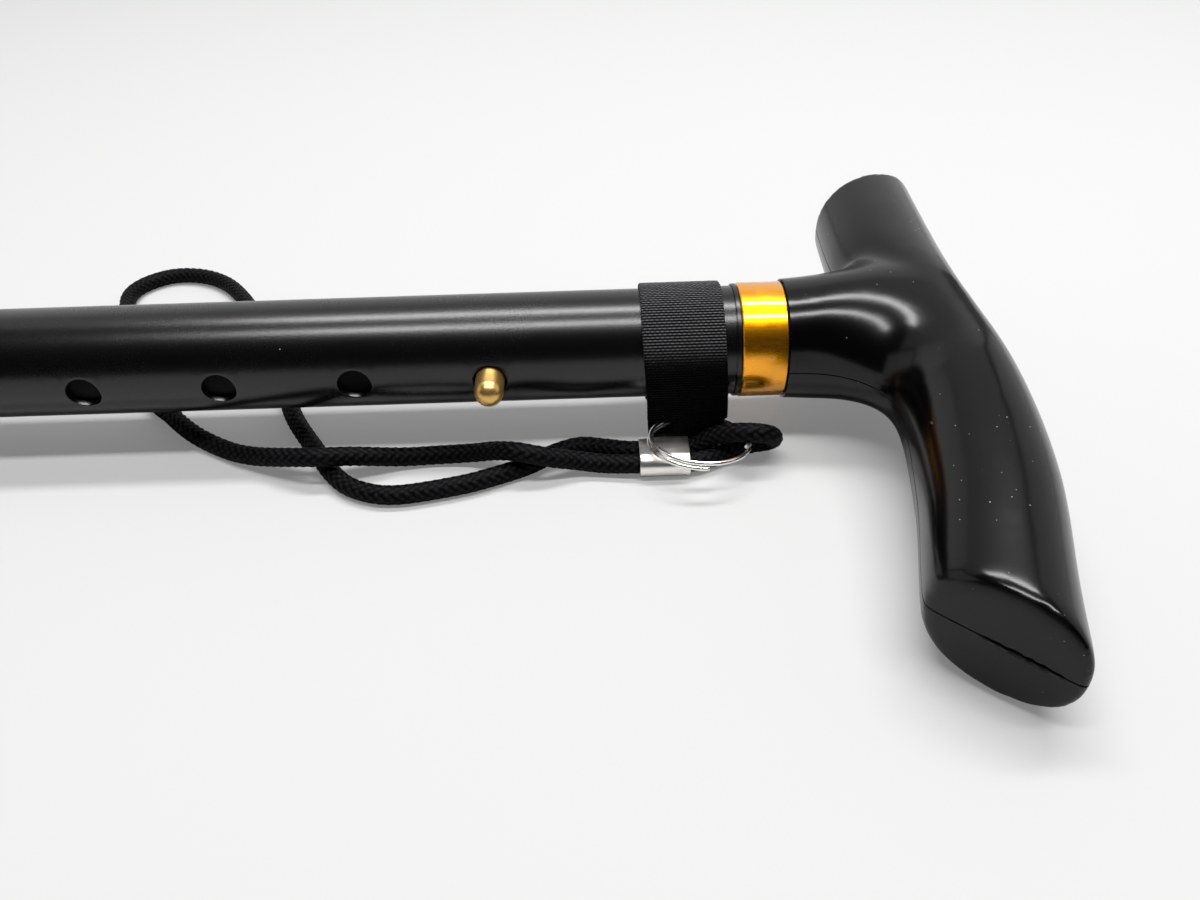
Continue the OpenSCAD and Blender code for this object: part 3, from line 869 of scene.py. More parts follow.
@dataclass
class WristStrap:
    """The ribbed band round the tube with its split ring, crimp and braided cord."""

    layout: Layout
    cord_d: float = 3.8
    cord_step: float = 0.28
    cord_lay: float = 1.85
    crimp: tuple[float, float, float] = (-14.8, -16.4, 2.6)
    lane: float = 2.1
    crimp_len: float = 9.5
    crimp_r: float = 2.45
    crimp_wall: float = 0.4
    ring_centre: tuple[float, float, float] = (-8.1, -16.2, 5.9)
    ring_tilt: tuple[float, float, float] = (-10.0, 4.0, 0.0)
    ring_r: float = 9.6
    ring_wire: float = 0.9
    ring_in: float = 0.25
    ring_down: float = -0.94
    ring_start: float = 275.0
    ring_sweep: float = 660.0
    band_w: float = 15.0
    band_t: float = 1.0
    band_gap: float = 0.05
    band_end: float = -2.5
    band_lean: float = 0.9
    hem: float = 0.12
    tab_inset: float = 0.48
    left_notch: tuple[float, float, float] = (4.3, 11.0, 13.8)
    right_notch: tuple[float, float, float] = (1.1, 12.2, 14.6)
    rib_pitch: float = 0.54
    rib_depth: float = 0.2
    rib_step: float = 0.09

    def route(self) -> list[Vector]:
        """Returns the points that the cord passes, from the crimp round and back to it."""
        lie = self.cord_d / 2
        front, back = self.crimp[1] - self.lane, self.crimp[1] + self.lane
        high = self.crimp[2]
        points = [
            (-14.8, front, high), (-9.8, front, high), (-5, -16.4, 2.1), (-0.4, -13.6, 2.1),
            (2.7, -12.6, 2.1), (5.1, -13.4, 3.1), (6.1, -15, 5), (5, -16.7, 7.1), (2.6, -17.3, 8.1),
            (0, -17, 8.1), (-2.7, -15.8, 7.2), (-5.4, -14.6, 5.5), (-7.9, back, 3.5), (-10.3, back, high),
            (-13.5, back, high), (-18, back, high), (-22, -14, 2.5), (-26.5, -12.4, 2.1), (-31, -11.5, lie),
            (-36, -13.6, lie), (-41, -17.1, lie), (-46.8, -19.9, lie), (-54, -22.5, lie), (-65, -24.6, lie),
            (-72, -23, lie), (-77.2, -18.8, lie), (-82.9, -9.9, lie), (-90.5, 3.6, lie), (-96.5, 22, lie),
            (-112, 51, lie), (-122.5, 63, lie), (-134, 65.5, lie), (-141.5, 58, lie), (-138.5, 45, lie),
            (-123, 13, lie), (-114.9, 3, lie), (-108, -3.9, lie), (-100.6, -9, lie), (-94.5, -12.4, 2.8),
            (-88, -15.5, 4.6), (-80.6, -17.8, 6.1), (-73.8, -16.4, 5), (-65.7, -13.7, 2.4),
            (-58.4, -12.8, lie), (-51.5, -13.4, 2.6), (-47, -15.5, 4.5), (-43, -18, 6.1), (-39.4, -18.8, 5.8),
            (-35.5, -18.3, 4.4), (-31, -17.4, 2.9), (-26.5, -17.7, 2.3), (-22, -18.3, 2.5),
            (-18, front, high), (-15.4, front, high)]
        return [self.layout.on_table(p) for p in points]

    def cord(self, strands: int = 8, rise: float = 0.3) -> bpy.types.Object:
        """Braids the cord along its route.

        Args:
            strands: Strands that run each way round.
            rise: How far a strand stands out, in millimetres.

        Returns:
            The cord.
        """
        path = even_path(self.route(), self.cord_step * MM)
        rows, columns = 48, len(path) - 1
        length = sum((b - a).length for a, b in zip(path, path[1:]))
        radius = self.cord_d / 2 * MM
        pitch = self.cord_lay * self.cord_d * MM

        def height(i: int, j: int) -> float:
            """Returns how high the braid stands at a point.

            Args:
                i: The place along the cord.
                j: The row round it.

            Returns:
                The height from 0 to 1.
            """
            turn = strands * j / rows
            run = strands * length * i / columns / pitch
            right, left = turn + run / 2, turn - run / 2
            over = (math.floor(right) + math.floor(left)) % 4 < 2
            across = (right if over else left) % 1.0
            lengthways = (left if over else right) % 1.0
            return math.sin(math.pi * across) ** 0.6 * (0.72 + 0.28 * math.sin(math.pi * lengthways))

        def reach(i: int, j: int) -> float:
            """Returns the cord's radius at a point of its braid."""
            return radius - rise * MM * (1 - height(i, j))

        bm = swept(path, rows, reach, raised=height)
        piece = add_piece("braided_wrist_cord", bm, [BRAID], Body.HANDLE, ["wrist_cord"], crease=80)
        self.cord_d * MM
        [tuple(p) for p in path[::4] + path[-1:]]
        return piece

    def crimp_sleeve(self) -> bpy.types.Object:
        """Bends the flat sleeve round the cord's two strands."""
        half, wall, round_off = self.crimp_len / 2, self.crimp_wall, 0.16
        profile = [
            (-half, -wall), (-half, -wall / 2), (-half + round_off / 3, -round_off / 3),
            (-half + round_off, 0), (-half * 0.5, 0.03), (0, 0.045), (half * 0.5, 0.03),
            (half - round_off, 0), (half - round_off / 3, -round_off / 3), (half, -wall / 2), (half, -wall),
            (0, -wall)]
        arc, flat = 24, 8
        rows = 2 * (arc + flat)

        def outline(j: int) -> tuple[float, float]:
            """Returns where a point round the sleeve is measured from.

            Args:
                j: The row.

            Returns:
                The place across that it is measured from, and its angle.
            """
            part, k = divmod(j, arc + flat)
            side = 1 if part == 0 else -1
            if k < arc:
                angle = side * (math.pi / 2 - math.pi * k / arc)
                return side * self.lane, angle + part * math.pi
            return side * self.lane * (1 - 2 * (k - arc) / flat), -side * math.pi / 2

        def place(i: int, j: int) -> Vector:
            """Returns a point of the sleeve.

            Args:
                i: The profile's point.
                j: The row round the sleeve.

            Returns:
                The point.
            """
            x, offset = profile[i]
            middle, angle = outline(j)
            reach = self.crimp_r + offset
            y = self.crimp[1] + middle + reach * math.cos(angle)
            return self.layout.on_table((self.crimp[0] + x, y, self.crimp[2] + reach * math.sin(angle)))

        bm = rolled(len(profile), rows, place, round_columns=True)
        bmesh.ops.recalc_face_normals(bm, faces=bm.faces[:])
        return add_piece("crimp_sleeve", bm, [CRIMP], Body.HANDLE, ["cord_crimp"], crease=50)

    def split_ring(self) -> bpy.types.Object:
        """Winds the two-turn split ring."""
        turn = Euler([math.radians(a) for a in self.ring_tilt]).to_matrix()
        centre = self.layout.on_table(self.ring_centre)
        steps, rows = 264, 20
        path = []
        for i in range(steps + 1):
            wound = self.ring_sweep * i / steps
            reach = self.ring_r - self.ring_in * wound / 360
            angle = math.radians(self.ring_start - wound)
            drop = self.ring_down * (self.ring_sweep / 2 - wound) / 360
            path.append(centre + turn @ Vector((reach * math.cos(angle), reach * math.sin(angle), drop)) * MM)
        radius = self.ring_wire / 2 * MM

        def wire(i: int, j: int) -> float:
            """Returns the wire's radius, which eases off at its cut ends."""
            from_end = min(i, steps - i) * self.ring_sweep / steps
            return radius * (0.8 + 0.2 * eased(from_end, 0, 2.5))

        bm = swept(path, rows, wire)
        return add_piece("wound_split_ring", bm, [NICKEL], Body.HANDLE, ["split_ring"], crease=50)

    def strip(self) -> list[tuple[Vector, Vector]]:
        """Returns the band's middle line across the shaft and the way out of its face at each point."""
        hug = self.layout.tube_r / MM + self.band_gap + self.band_t / 2
        low = 0.3 + self.band_t / 2 - self.layout.ground / MM
        back, front, bend = -3.9, -hug, 1.6
        meet = math.asin(-back / hug)
        top = -hug * math.cos(meet) - 0.75 * self.band_t
        line: list[tuple[Vector, Vector]] = []

        def run(start: tuple[float, float], end: tuple[float, float], out: tuple[float, float]) -> None:
            """Lays a straight stretch.

            Args:
                start: Its first point.
                end: Its last point, which is left to the next stretch.
                out: The way out of its face.
            """
            a, b = Vector(start), Vector(end)
            count = max(2, round((b - a).length / self.rib_step))
            line.extend((a.lerp(b, i / count), Vector(out)) for i in range(count))

        def arc(centre: tuple[float, float], radius: float, first: float, last: float) -> None:
            """Lays a round stretch.

            Args:
                centre: Its centre.
                radius: Its radius.
                first: The angle where it starts.
                last: The angle where it ends, which is left to the next stretch.
            """
            count = max(4, round(abs(last - first) * radius / self.rib_step))
            for i in range(count):
                angle = first + (last - first) * i / count
                way = Vector((math.cos(angle), math.sin(angle)))
                line.append((Vector(centre) + radius * way, way))

        run((back, top), (back, low + bend), (1, 0))
        arc((back - bend, low + bend), bend, 0, -math.pi / 2)
        run((back - bend, low), (front + bend, low), (0, -1))
        arc((front + bend, low + bend), bend, -math.pi / 2, -math.pi)
        run((front, low + bend), (front, 0.0), (-1, 0))
        arc((0, 0), hug, math.pi, -math.pi / 2 - meet)
        return line

    def band(self) -> bpy.types.Object:
        """Weaves the ribbed elastic band and its tab."""
        line = self.strip()
        x0 = self.layout.collar_x / MM + self.band_end - self.band_w
        x1 = x0 + self.band_w
        face, edge = 40, 5
        rows = 2 * (face + edge)

        def ribs(i: int) -> float:
            """Returns the place along the band, counted in ribs."""
            return i * self.rib_step / self.rib_pitch

        def height(i: int) -> float:
            """Returns the height of the ribs at a place along the band, from 0 to 1."""
            return (math.sin(math.pi * ribs(i)) ** 2) ** 0.7

        def notch(below: float, deep: float, start: float, end: float) -> float:
            """Returns how far the ring draws an edge of the tab in.

            Args:
                below: How far the point lies below the tube's middle.
                deep: The most that the edge is drawn in.
                start: Where that starts.
                end: Where it ends.

            Returns:
                The distance.
            """
            return deep * eased(below, start, start + 0.4) * (1 - eased(below, end, end + 0.4))

        def place(i: int, j: int) -> Vector:
            """Returns a point of the band.

            Args:
                i: The place along it.
                j: The row round its section.

            Returns:
                The point.
            """
            middle, out = line[i]
            front = out.x < -0.99
            below = -middle.y
            inset = self.hem + self.tab_inset * eased(below, 10.4, 11.0) * (front or below > 11.0)
            left = x0 + inset + front * notch(below, *self.left_notch)
            right = x1 - inset - front * notch(below, *self.right_notch)
            half = self.band_t / 2
            part, k = divmod(j, face + edge)
            if k < face:
                share, lift = k / face, half
            else:
                angle = math.pi * (k - face) / edge
                share, lift = 1 + 0.35 / (right - left) * math.sin(angle), half * math.cos(angle)
            if part:
                share, lift = 1 - share, -lift
            rib = self.rib_depth * (1 - height(i)) * (1 if lift > 0 else 0.4)
            fuzz = 0.05 * noise.noise((i * 0.35, share * 40, 3.0))
            x = left + (right - left) * share - self.band_lean * eased(middle.y, -10, 11)
            if k >= face:
                x += 0.08 * noise.noise((i * 0.9, part, 7.0))
            reach = lift - math.copysign(rib, lift) + fuzz * (1 if lift > 0 else 0)
            spot = middle + reach * out
            return Vector((x, spot.x, spot.y)) * MM

        def painted_rib_highlight(i: int, j: int) -> float:
            """Returns the painted highlight on the ribs: the rib tops are lighter, most on the band's upward
            face where the light falls.
            """
            # painted highlight: rib tops lighter, strongest where the band faces up
            return height(i) * (0.2 + 0.8 * eased(line[i][1].y, -0.2, 0.5))

        # the raised layer carries the painted highlight on the rib tops
        bm = closed(rolled(len(line) - 1, rows, place, raised=painted_rib_highlight, turn=lambda i, j: math.floor(ribs(i))))
        piece = add_piece("ribbed_wrist_band", bm, [WEBBING], Body.HANDLE, ["wrist_band"], crease=80)
        length = sum((b[0] - a[0]).length for a, b in zip(line, line[1:]))
        self.band_w * MM
        return piece

    def build(self) -> None:
        """Builds the strap: crimp sleeve, cord, split ring and band."""
        crimp = self.crimp_sleeve()
        self.cord()
        self.split_ring()
        self.band()


@dataclass
class DerbyHandle:
    """The moulded handle: two halves that meet in a fine parting line."""

    layout: Layout
    power: float = 2.2
    neck_r: float = 11.1
    swell: float = 0.1
    rise: float = 1.9
    rise_run: float = 18.0
    web_short: float = 2.8
    web_long: float = 6.0
    arm_u: float = 28.3
    arm_drop: float = 0.8
    elbow: tuple[float, float] = (11.5, 13.0)
    bulge: float = 3.4
    slim_inside: float = 0.4
    slim_outside: float = 0.6
    long_end: tuple[float, float, float] = (11.2, -67.0, 0.83)
    short_end: tuple[float, float, float] = (13.4, 40.6, 0.31)
    end_span: tuple[float, float] = (11.0, 32.0)
    first_skin: tuple[float, int] = (0.55, 34)
    last_skin: tuple[float, int] = (0.42, 5)
    bend: tuple[float, float] = (20.5, -9.0)
    bend_reaches: tuple[float, ...] = (15.0, 13.5, 12.0, 10.5, 9.0)
    bend_passes: int = 40
    edge_levels: tuple[float, float, float] = (0.07, 0.18, 0.42)

    def grip_stations(self) -> list[Vector]:
        """Returns stations along the grip: place across, back line, inner line and half thickness."""
        r = self.neck_r
        return [Vector(s) for s in (
            (-96, 27.4, 9.5, r + 0.1), (-70, 32.7, 10.5, r), (-45, 38.1, 15.5, r + 1.1),
            (-20, 39.2, 18.2, r + 1.9), (5, 36.5, 17, r + 1.8), (25, 36.2, 14, r + 0.7),
            (60, 36.1, 14.4, r - 0.8))]

    def hub(self, run: float) -> float:
        """Returns the half height of the neck, which swells towards the grip."""
        return self.neck_r + self.rise * min(max(run, 0.0) / self.rise_run, 1.0)

    def neck_stations(self) -> list[Vector]:
        """Returns stations along the neck: place along the shaft, flare to each side and half height."""
        return [Vector((u, flare, self.hub(u))) for u, flare in (
            (-6, 0), (0, 0), (5, 0.3), (9, 1.4), (13, 4), (16.5, 7.4), (18.2, 12.2), (25, 16))]

    def elbow_stations(self) -> list[Vector]:
        """Returns stations from the neck into the long arm: two places, heading and half height."""
        wide, deep = self.elbow
        places = [(-6, 0, 0), (-2, 0, 0), (4, 0, 0), (10, 0, 0)]
        for step in range(9):
            turn = math.pi / 2 * step / 8
            places.append((self.arm_u + wide * (math.sin(turn) - 1), deep * (math.cos(turn) - 1), turn))
        places += [(self.arm_u, -25, 1.6), (27.9, -33, 1.64), (27, -42, 1.69)]
        halves = [self.hub(u - v) - self.arm_drop * eased(-v, 18, 42) for u, v, _ in places]
        return [Vector((*place, half)) for place, half in zip(places, halves)]

    def neck_ring(self, station: Vector, a: float, b: float) -> Vector:
        """Returns a point of the neck, whose flare stays low on the long arm's side.

        Args:
            station: The neck's station.
            a: The section's share across.
            b: The section's share upwards.

        Returns:
            The point.
        """
        u, flare, half = station
        web = self.web_short if a > 0 else self.web_long
        return Vector((u, (self.neck_r + self.swell) * a + flare * math.copysign(abs(a) ** web, a),
                       (half + self.swell) * b))

    def elbow_ring(self, station: Vector, a: float, b: float) -> Vector:
        """Returns a point of the elbow, which is wider on the inside of its bend.

        Args:
            station: The elbow's station.
            a: The section's share across.
            b: The section's share upwards.

        Returns:
            The point.
        """
        u, v, heading, half = station
        reach = self.neck_r - self.slim_inside * heading
        if a < 0:
            reach += self.bulge * math.sin(2 * min(heading, math.pi / 2))
        else:
            reach -= self.slim_outside * heading
        across, up = reach * a, (half + self.swell) * b
        return Vector((u + across * math.sin(heading), v + across * math.cos(heading), up))

    def rounded(self, angle: float) -> tuple[float, float]:
        """Returns a point of the rounded section at an angle."""
        c, s = math.cos(angle), math.sin(angle)
        return (math.copysign(abs(c) ** (2 / self.power), c), math.copysign(abs(s) ** (2 / self.power), s))

    def loft(self, stations: Sequence[Vector], ring: Callable[[Vector, float, float], Vector],
             columns: int = 80, rows: int = 96) -> bmesh.types.BMesh:
        """Lofts a body through stations.

        Args:
            stations: The stations.
            ring: The place of a point from a station and the section's two shares.
            columns: Faces along the body.
            rows: Faces round it.

        Returns:
            The closed body.
        """
        last = len(stations) - 1

        def place(i: int, j: int) -> Vector:
            """Returns the body's point at a column and a row."""
            return ring(along(stations, last * i / columns), *self.rounded(TAU * (j + 0.5) / rows))

        return closed(rolled(columns, rows, place))

    def reskinned(self, bm: bmesh.types.BMesh, voxel: float, passes: int) -> bmesh.types.BMesh:
        """Lays one even skin over a body and smooths it.

        Args:
            bm: The body, which is freed.
            voxel: The size of the skin's faces.
            passes: Smoothing passes.

        Returns:
            The smooth skin.
        """
        rough = in_scene("rough_handle", as_mesh("rough_handle", bm))
        modifier = rough.modifiers.new("skin", "REMESH")
        modifier.mode = "VOXEL"
        modifier.voxel_size = voxel
        skin = bpy.data.meshes.new_from_object(rough.evaluated_get(bpy.context.evaluated_depsgraph_get()))
        bpy.data.objects.remove(rough)
        laid = bmesh.new()
        laid.from_mesh(skin)
        bpy.data.meshes.remove(skin)
        smooth(laid, laid.verts[:], passes)
        return laid

    def whole(self) -> bmesh.types.BMesh:
        """Joins the grip and the neck, with a round rim at the long end and a crisp one at the short end."""
        bm = self.loft(self.grip_stations(), lambda g, a, b: Vector((
            (g[1] + g[2]) / 2 + ((g[1] - g[2]) / 2 + self.swell) * a, g[0], (g[3] + self.swell) * b)))
        u, v, slope = self.long_end
        cut(bm, (u, v, 0), (slope, 1, 0))
        cap(bm)
        neck = self.loft(self.neck_stations(), self.neck_ring, 60)
        elbow = self.loft(self.elbow_stations(), self.elbow_ring, 90)
        for other in (neck, elbow):
            part = as_mesh("part", other)
            bm.from_mesh(part)
            bpy.data.meshes.remove(part)
        bm = self.reskinned(bm, *self.first_skin)
        for reach in self.bend_reaches:
            near = [vert for vert in bm.verts if (vert.co.xy - Vector(self.bend)).length < reach]
            smooth(bm, near, self.bend_passes)
        u, v, slope = self.short_end
        cut(bm, (u, v, 0), (slope, -1, 0))
        cap(bm)
        return self.reskinned(bm, *self.last_skin)

    def groove(self, u: float, v: float, near: float, end: float) -> float:
        """Returns how far the parting line sinks a point.

        Args:
            u: The point's place along the shaft.
            v: Its place across.
            near: Its distance from the parting plane.
            end: How far it belongs to the cut end.

        Returns:
            The depth.
        """
        first, last = self.end_span
        share = (u - first) / (last - first)
        gape = eased(share, 0.3, 0.44) * (1 - eased(share, 0.66, 0.8)) * end
        uneven = noise.noise((u * 0.9, v * 0.9, 2.0))
        wide = 0.11 + 0.09 * end + gape * (0.24 + 0.2 * uneven)
        deep = 0.1 + 0.5 * end + 0.7 * gape
        return deep * max(0.0, 1 - near / wide)

    def half(self, skin: bpy.types.Mesh, name: str, up: float, node: str) -> bpy.types.Object:
        """Cuts one half from the skin and eases its parting edge.

        Args:
            skin: The whole handle.
            name: The piece's name.
            up: 1 for the upper half and -1 for the lower.
            node: The node that it stands for.

        Returns:
            The half.
        """
        bm = bmesh.new()
        bm.from_mesh(skin)
        for level in self.edge_levels:
            cut(bm, (0, 0, up * level), (0, 0, up), clear=False)
        for way in ((0, 0, up), (1, 0, 0)):
            cut(bm, (0, 0, 0), way)
        bm.normal_update()
        layer = bm.verts.layers.float.new("cut_end")
        u0, v0, slope = self.long_end
        for vert in bm.verts:
            u, v, w = vert.co
            end = 1 - eased((v - v0 + slope * (u - u0)) / math.hypot(slope, 1), 0.15, 0.8)
            vert[layer] = end
            depth = self.groove(u, v, abs(w), end)
            if depth:
                vert.co -= Vector((vert.normal.x, vert.normal.y, 0)) * depth
        cap(bm)
        turn = Matrix.Rotation(self.layout.roll, 4, "X")
        to_neck = Matrix.Translation((self.layout.neck_x, 0, 0))
        bmesh.ops.transform(bm, verts=bm.verts[:], matrix=to_neck @ turn @ Matrix.Scale(MM, 4))
        return add_piece(name, bm, [HANDLE_PLASTIC], Body.HANDLE, [node], crease=40)

    def build(self) -> None:
        """Builds both halves."""
        skin = as_mesh("handle_skin", self.whole())
        self.half(skin, "handle_upper_half", 1, "handle_upper_shell")
        self.half(skin, "handle_lower_half", -1, "handle_lower_shell")
        bpy.data.meshes.remove(skin)


@dataclass
class HandleTube:
    """The handle tube with its row of holes, the gold collar and the washer beside it."""

    layout: Layout
    wall: float = 1.0
    hole_d: float = 6.4
    pitch: float = 25.4
    holes: int = 7
    cells: int = 30
    hole_cells: int = 4
    frame_cells: int = 6
    hole_bevel: float = 0.1
    fit: float = 0.05
    gap: float = 0.06
    collar_proud: float = 0.55
    collar_edge: float = 0.32
    washer_proud: float = 0.4
    washer_t: float = 0.9

    def tube(self) -> bpy.types.Object:
        """Drills a flat sheet, rolls it round the shaft and gives it its wall."""
        lay = self.layout
        cell = self.pitch / self.cells * MM
        columns = round((lay.tube_end - lay.tube_start) / cell)
        rows = round(TAU * lay.tube_r / cell)
        first = round((lay.button_x - lay.tube_start) / cell) - (self.holes - 1) * self.cells
        frame_cells, hole_cells = self.frame_cells, self.hole_cells
        hole_r = self.hole_d / 2 * MM
        middle = rows // 2

        def pulled(i: int, j: int) -> tuple[float, float]:
            """Returns a point of the flat sheet, drawn to a hole's edge where it is near one.

            Args:
                i: The point's column.
                j: Its row.

            Returns:
                Its place along the sheet and its place across from the holes' line.
            """
            k = round((i - first) / self.cells)
            k = min(max(k, 0), self.holes - 1)
            di, dj = i - first - k * self.cells, j - middle
            ring = max(abs(di), abs(dj))
            x, s = i * cell, (j - middle) * TAU * lay.tube_r / rows
            if hole_cells <= ring < frame_cells:
                way = Vector((di, dj)).normalized()
                share = (ring - hole_cells) / (frame_cells - hole_cells)
                centre = (first + k * self.cells) * cell
                square = Vector((di * cell, dj * TAU * lay.tube_r / rows))
                spot = (way * hole_r).lerp(square, share)
                return centre + spot.x, spot.y
            return x, s

        def place(i: int, j: int) -> Vector:
            """Returns a point of the rolled sheet.

            Args:
                i: The point's column.
                j: Its row.

            Returns:
                The point.
            """
            x, s = pulled(i, j)
            angle = s / lay.tube_r + lay.roll
            return Vector((lay.tube_start + x, -lay.tube_r * math.cos(angle), -lay.tube_r * math.sin(angle)))

        bm = bmesh.new()
        bmesh.ops.create_grid(bm, x_segments=columns, y_segments=rows, size=0.5)
        spots = {v: (round((v.co.x + 0.5) * columns), round((v.co.y + 0.5) * rows)) for v in bm.verts}

        def in_hole(face: bmesh.types.BMFace) -> bool:
            """Tells whether a face of the flat sheet lies in a hole.

            Args:
                face: The face.

            Returns:
                Whether all its corners lie in one hole.
            """
            for k in range(self.holes):
                centre = first + k * self.cells
                away = (max(abs(spots[v][0] - centre), abs(spots[v][1] - middle)) for v in face.verts)
                if max(away) <= hole_cells:
                    return True
            return False

        gone = [f for f in bm.faces if in_hole(f)]
        bmesh.ops.delete(bm, geom=gone, context="FACES")
        for vert in bm.verts:
            i, j = spots[vert]
            vert.co = place(i, j % rows)
        bmesh.ops.remove_doubles(bm, verts=bm.verts[:], dist=SEAM)
        bmesh.ops.recalc_face_normals(bm, faces=bm.faces[:])
        bmesh.ops.solidify(bm, geom=bm.faces[:], thickness=self.wall * MM)
        rim = [e for e in bm.edges if len(e.link_faces) == 2 and e.calc_face_angle() > math.radians(50)
               and all(math.hypot(v.co.y, v.co.z) > lay.tube_r - 0.3 * MM for v in e.verts)]
        bevelled = bmesh.ops.bevel(bm, geom=rim, offset=self.hole_bevel * MM, segments=2, profile=0.5,
                                   affect="EDGES", material=-1)
        button_hole = Vector((lay.button_x, 0, 0)) + lay.tube_r * lay.button_side()
        bright_above = 0.4 * MM
        for face in bevelled["faces"]:
            away = face.calc_center_median() - button_hole
            face.material_index = int(away.length < self.hole_d * MM and away.z < bright_above)
        bmesh.ops.recalc_face_normals(bm, faces=bm.faces[:])
        return add_piece("drilled_handle_tube", bm, [TUBE_COAT, HOLE_EDGE], Body.HANDLE, ["handle_tube"])

    def collar(self) -> bpy.types.Object:
        """Turns the gold collar with its bright chamfers."""
        lay = self.layout
        inner, outer = lay.tube_r + self.fit * MM, lay.tube_r + self.collar_proud * MM
        edge = self.collar_edge * MM
        a, b = lay.collar_x + 0.02 * MM, lay.neck_x - self.gap * MM
        profile = [
            (a, inner), (a, outer - edge), (a + edge, outer),
            (b - edge, outer), (b, outer - edge), (b, inner)]
        bm = turned(profile, 144, 0.06 * MM)
        return add_piece("gold_collar_ring", bm, [GOLD], Body.HANDLE, ["collar_ring"])

    def washer(self) -> bpy.types.Object:
        """Turns the black washer below the collar."""
        lay = self.layout
        inner, outer = lay.tube_r + self.fit * MM, lay.tube_r + self.washer_proud * MM
        a, b = lay.collar_x - self.washer_t * MM, lay.collar_x - self.gap * MM
        bm = turned([(a, inner), (a, outer), (b, outer), (b, inner)], 120, 0.12 * MM, 3)
        return add_piece("black_collar_washer", bm, [WASHER], Body.HANDLE, ["collar_washer"])

    def build(self) -> None:
        """Builds the tube, collar and washer."""
        self.tube()
        self.collar()
        self.washer()


@dataclass
class SnapButton:
    """The domed brass button that stands in the top hole, and the leaf spring behind it."""

    layout: Layout
    wall: float = 1.0
    dome_r: float = 2.75
    proud: float = 5.9
    flange_r: float = 3.55
    flange_t: float = 1.1
    seat: float = 0.3
    leaf_w: float = 6.0
    leaf_t: float = 0.6
    leaf_toe: float = 5.0
    leaf_reach: float = 32.0
    leaf_bend: float = 1.5
    leaf_gap: float = 0.1

    def bore(self) -> float:
        """Returns the radius inside the sliding tube."""
        return self.layout.lower_r / MM - self.wall

    def foot(self) -> float:
        """Returns how far the button's flange starts from the shaft's axis."""
        return math.sqrt(self.bore() ** 2 - self.flange_r ** 2) - self.seat - self.flange_t

    def leaf(self) -> None:
        """Folds the leaf spring."""
        high = self.foot() - self.leaf_gap - self.leaf_t / 2
        low = self.leaf_t / 2 + self.leaf_gap / 2 - math.sqrt(self.bore() ** 2 - self.leaf_w ** 2 / 4)
        toe, reach, bend = self.leaf_toe, self.leaf_reach, self.leaf_bend
        nip = low + 2 * bend
        route = [(toe - 2 * toe * i / 6, high) for i in range(6)]
        route += [(-toe + (toe - reach) * i / 24, high + (nip - high) * i / 24) for i in range(24)]
        for i in range(13):
            angle = math.pi * i / 12
            route.append((-reach - bend * math.sin(angle), low + bend + bend * math.cos(angle)))
        route += [(-reach + (reach + toe) * i / 12, low) for i in range(1, 13)]
        path = [Vector((x, 0, out)) for x, out in route]
        across, lift, soft = self.leaf_w / 2, self.leaf_t / 2, 0.12
        section = [
            (across, lift - soft), (across - soft, lift), (soft - across, lift), (-across, lift - soft),
            (-across, soft - lift), (soft - across, -lift), (across - soft, -lift), (across, soft - lift)]
        way = self.layout.button_side()
        middle = Vector((self.layout.button_x, 0, 0))

        def place(i: int, j: int) -> Vector:
            """Returns a point of the leaf.

            Args:
                i: The place along it.
                j: The section's point.

            Returns:
                The point.
            """
            ahead = (path[min(i + 1, len(path) - 1)] - path[max(i - 1, 0)]).normalized()
            side, up = section[j]
            x, _, out = path[i] + up * Vector((-ahead.z, 0, ahead.x))
            return middle + MM * (Vector((x, 0, 0)) + out * way + side * way.cross(Vector((1, 0, 0))))

        bm = closed(rolled(len(path) - 1, len(section), place))
        piece = add_piece("folded_leaf_spring", bm, [SPRING], None, ["button_spring"])
        middle + low * MM * way
        middle + (high - self.leaf_t / 2) * MM * way
        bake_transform(piece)

    def build(self) -> None:
        """Turns the button, stands it in its hole and folds its spring."""
        top = self.layout.tube_r / MM + self.proud
        base, neck = self.foot(), top - self.dome_r
        flange_top = base + self.flange_t
        profile = [(base, 0.0), (base, self.flange_r), (flange_top, self.flange_r), (flange_top, self.dome_r)]
        count = 12
        for i in range(count + 1):
            angle = math.pi / 2 * i / count
            profile.append((neck + self.dome_r * math.sin(angle), self.dome_r * math.cos(angle)))
        profile[-1] = (top, 0.0)
        bm = turned([(x * MM, r * MM) for x, r in profile], 64, 0.12 * MM)
        to_hole = Matrix.Translation((self.layout.button_x, 0, 0))
        bmesh.ops.transform(bm, verts=bm.verts[:], matrix=to_hole @ self.layout.outwards())
        add_piece("brass_snap_button", bm, [BRASS], Body.BUTTON, ["snap_button"])
        self.leaf()


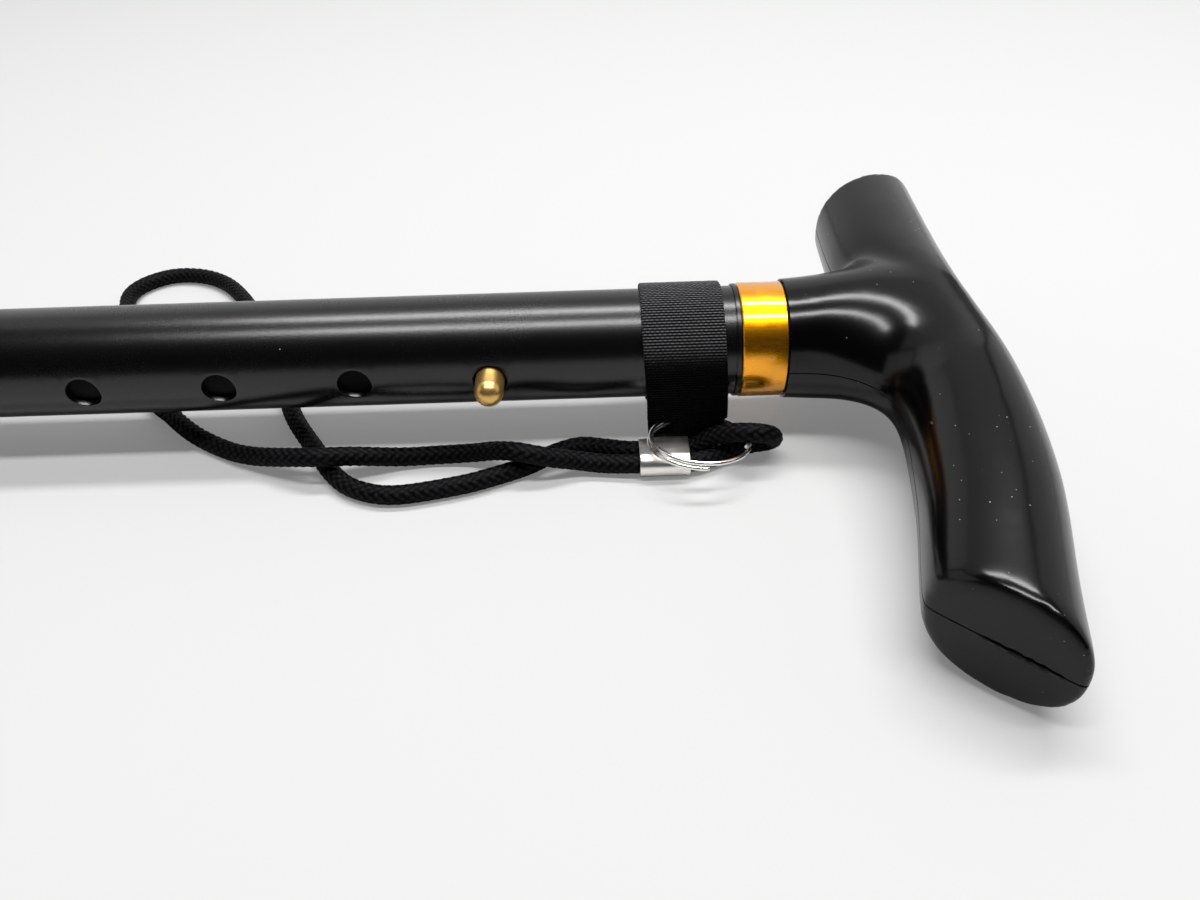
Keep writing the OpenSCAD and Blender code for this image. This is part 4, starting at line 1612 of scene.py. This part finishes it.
@dataclass
class FoldingShaft:
    """The tubes, joint collars and elastic bends below the handle tube."""

    layout: Layout
    wall: float = 1.0
    face_gap: float = 0.2
    edge: float = 0.15
    fit: float = 0.05
    collar_wall: float = 1.75
    collar_edge: float = 0.8
    groove_at: float = 4.0
    groove_w: float = 1.2
    groove_deep: float = 0.35
    elastic_r: float = 2.0
    elastic_start: float = 17.0
    stretch: float = 3.0

    def section_tubes(self) -> None:
        """Turns the tube of each section."""
        lay = self.layout
        for node, body in zip(("upper_tube", "tube_2", "tube_3", "tube_4"), (Body.UPPER, *SECTIONS)):
            low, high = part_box(node)
            inner = lay.lower_r - self.wall * MM
            profile = [(low[0], inner), (low[0], lay.lower_r), (high[0], lay.lower_r), (high[0], inner)]
            finish = SLIDER_COAT if body is Body.UPPER else TUBE_COAT
            add_piece(f"satin_{node}", turned(profile, edge=self.edge * MM), [finish], body, [node])

    def joint_collars(self) -> None:
        """Turns the collar at the mouth of each section, with a shallow groove."""
        lay = self.layout
        inner = lay.lower_r + self.fit * MM
        outer = inner + self.collar_wall * MM
        edge, deep = self.collar_edge * MM, outer - self.groove_deep * MM
        for number, body in enumerate(SECTIONS, 2):
            node = f"joint_collar_{number}"
            low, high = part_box(node)
            a, b = low[0], high[0]
            groove = a + self.groove_at * MM
            groove_end = groove + self.groove_w * MM
            profile = [
                (a, inner), (a, outer - edge), (a + edge, outer), (groove, outer), (groove, deep),
                (groove_end, deep), (groove_end, outer), (b - edge, outer), (b, outer - edge), (b, inner)]
            add_piece(f"turned_{node}", turned(profile, edge=self.edge * MM), [MATT_BLACK], body, [node])

    def elastic_bends(self) -> None:
        """Sweeps a short length of elastic at the mouth of each joint."""
        joints = zip(self.layout.mouths, KNUCKLES, SECTIONS)
        for number, (mouth, knuckle, section) in enumerate(joints, 1):
            start, end = mouth + self.face_gap * MM, mouth - self.elastic_start * MM
            turn_end = mouth - self.stretch * MM
            places = [start] + [mouth + (turn_end - mouth) * i / 60 for i in range(61)]
            places += [turn_end + (end - turn_end) * i / 8 for i in range(1, 9)]
            path = [Vector((x, 0, 0)) for x in places]
            bm = swept(path, 24, lambda i, j: self.elastic_r * MM, raised=lambda i, j: (i + j) % 2 * 0.8)
            piece = add_piece(f"elastic_bend_{number}", bm, [ELASTIC], None)
            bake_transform(piece)

    def build(self) -> None:
        """Builds the shaft."""
        self.section_tubes()
        self.joint_collars()
        self.elastic_bends()


def dress_nodes(nodes: dict[str, bpy.types.Object]) -> None:
    """Gives each node that still shows its finish and a smooth skin.

    Args:
        nodes: The frame's nodes by name.
    """
    finishes = {
        "tube_plug": MATT_BLACK, "handle_pin": SPRING, "tube_end_bush": MATT_BLACK,
        "cord_anchor": MATT_BLACK, "joint_plug": MATT_BLACK, "elastic_cord": ELASTIC, "joint_cord": ELASTIC,
        "socket_liner": MATT_BLACK, "tip_washer": SPRING, "rubber_tip": RUBBER}
    for name, node in nodes.items():
        for start, finish in finishes.items():
            if not name.startswith(start):
                continue
            node.data.materials.clear()
            node.data.materials.append(finish.material())
            node.data.shade_smooth()
            weld = node.modifiers.new("weld", "WELD")
            weld.merge_threshold = 1e-6
            split = node.modifiers.new("split", "EDGE_SPLIT")
            split.split_angle = math.radians(30)
            LOG.info("%s: %s", name, finish.name)


def main() -> None:
    """Loads the frame and builds the cane's looks around it."""
    logging.basicConfig(level=logging.INFO, format="%(message)s")
    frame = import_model()
    layout = Layout.read()
    Studio(floor_z=-layout.ground).build()
    WristStrap(layout).build()
    HandleTube(layout).build()
    SnapButton(layout).build()
    DerbyHandle(layout).build()
    FoldingShaft(layout).build()
    dress_nodes(frame["nodes"])


if __name__ == "__main__":
    main()
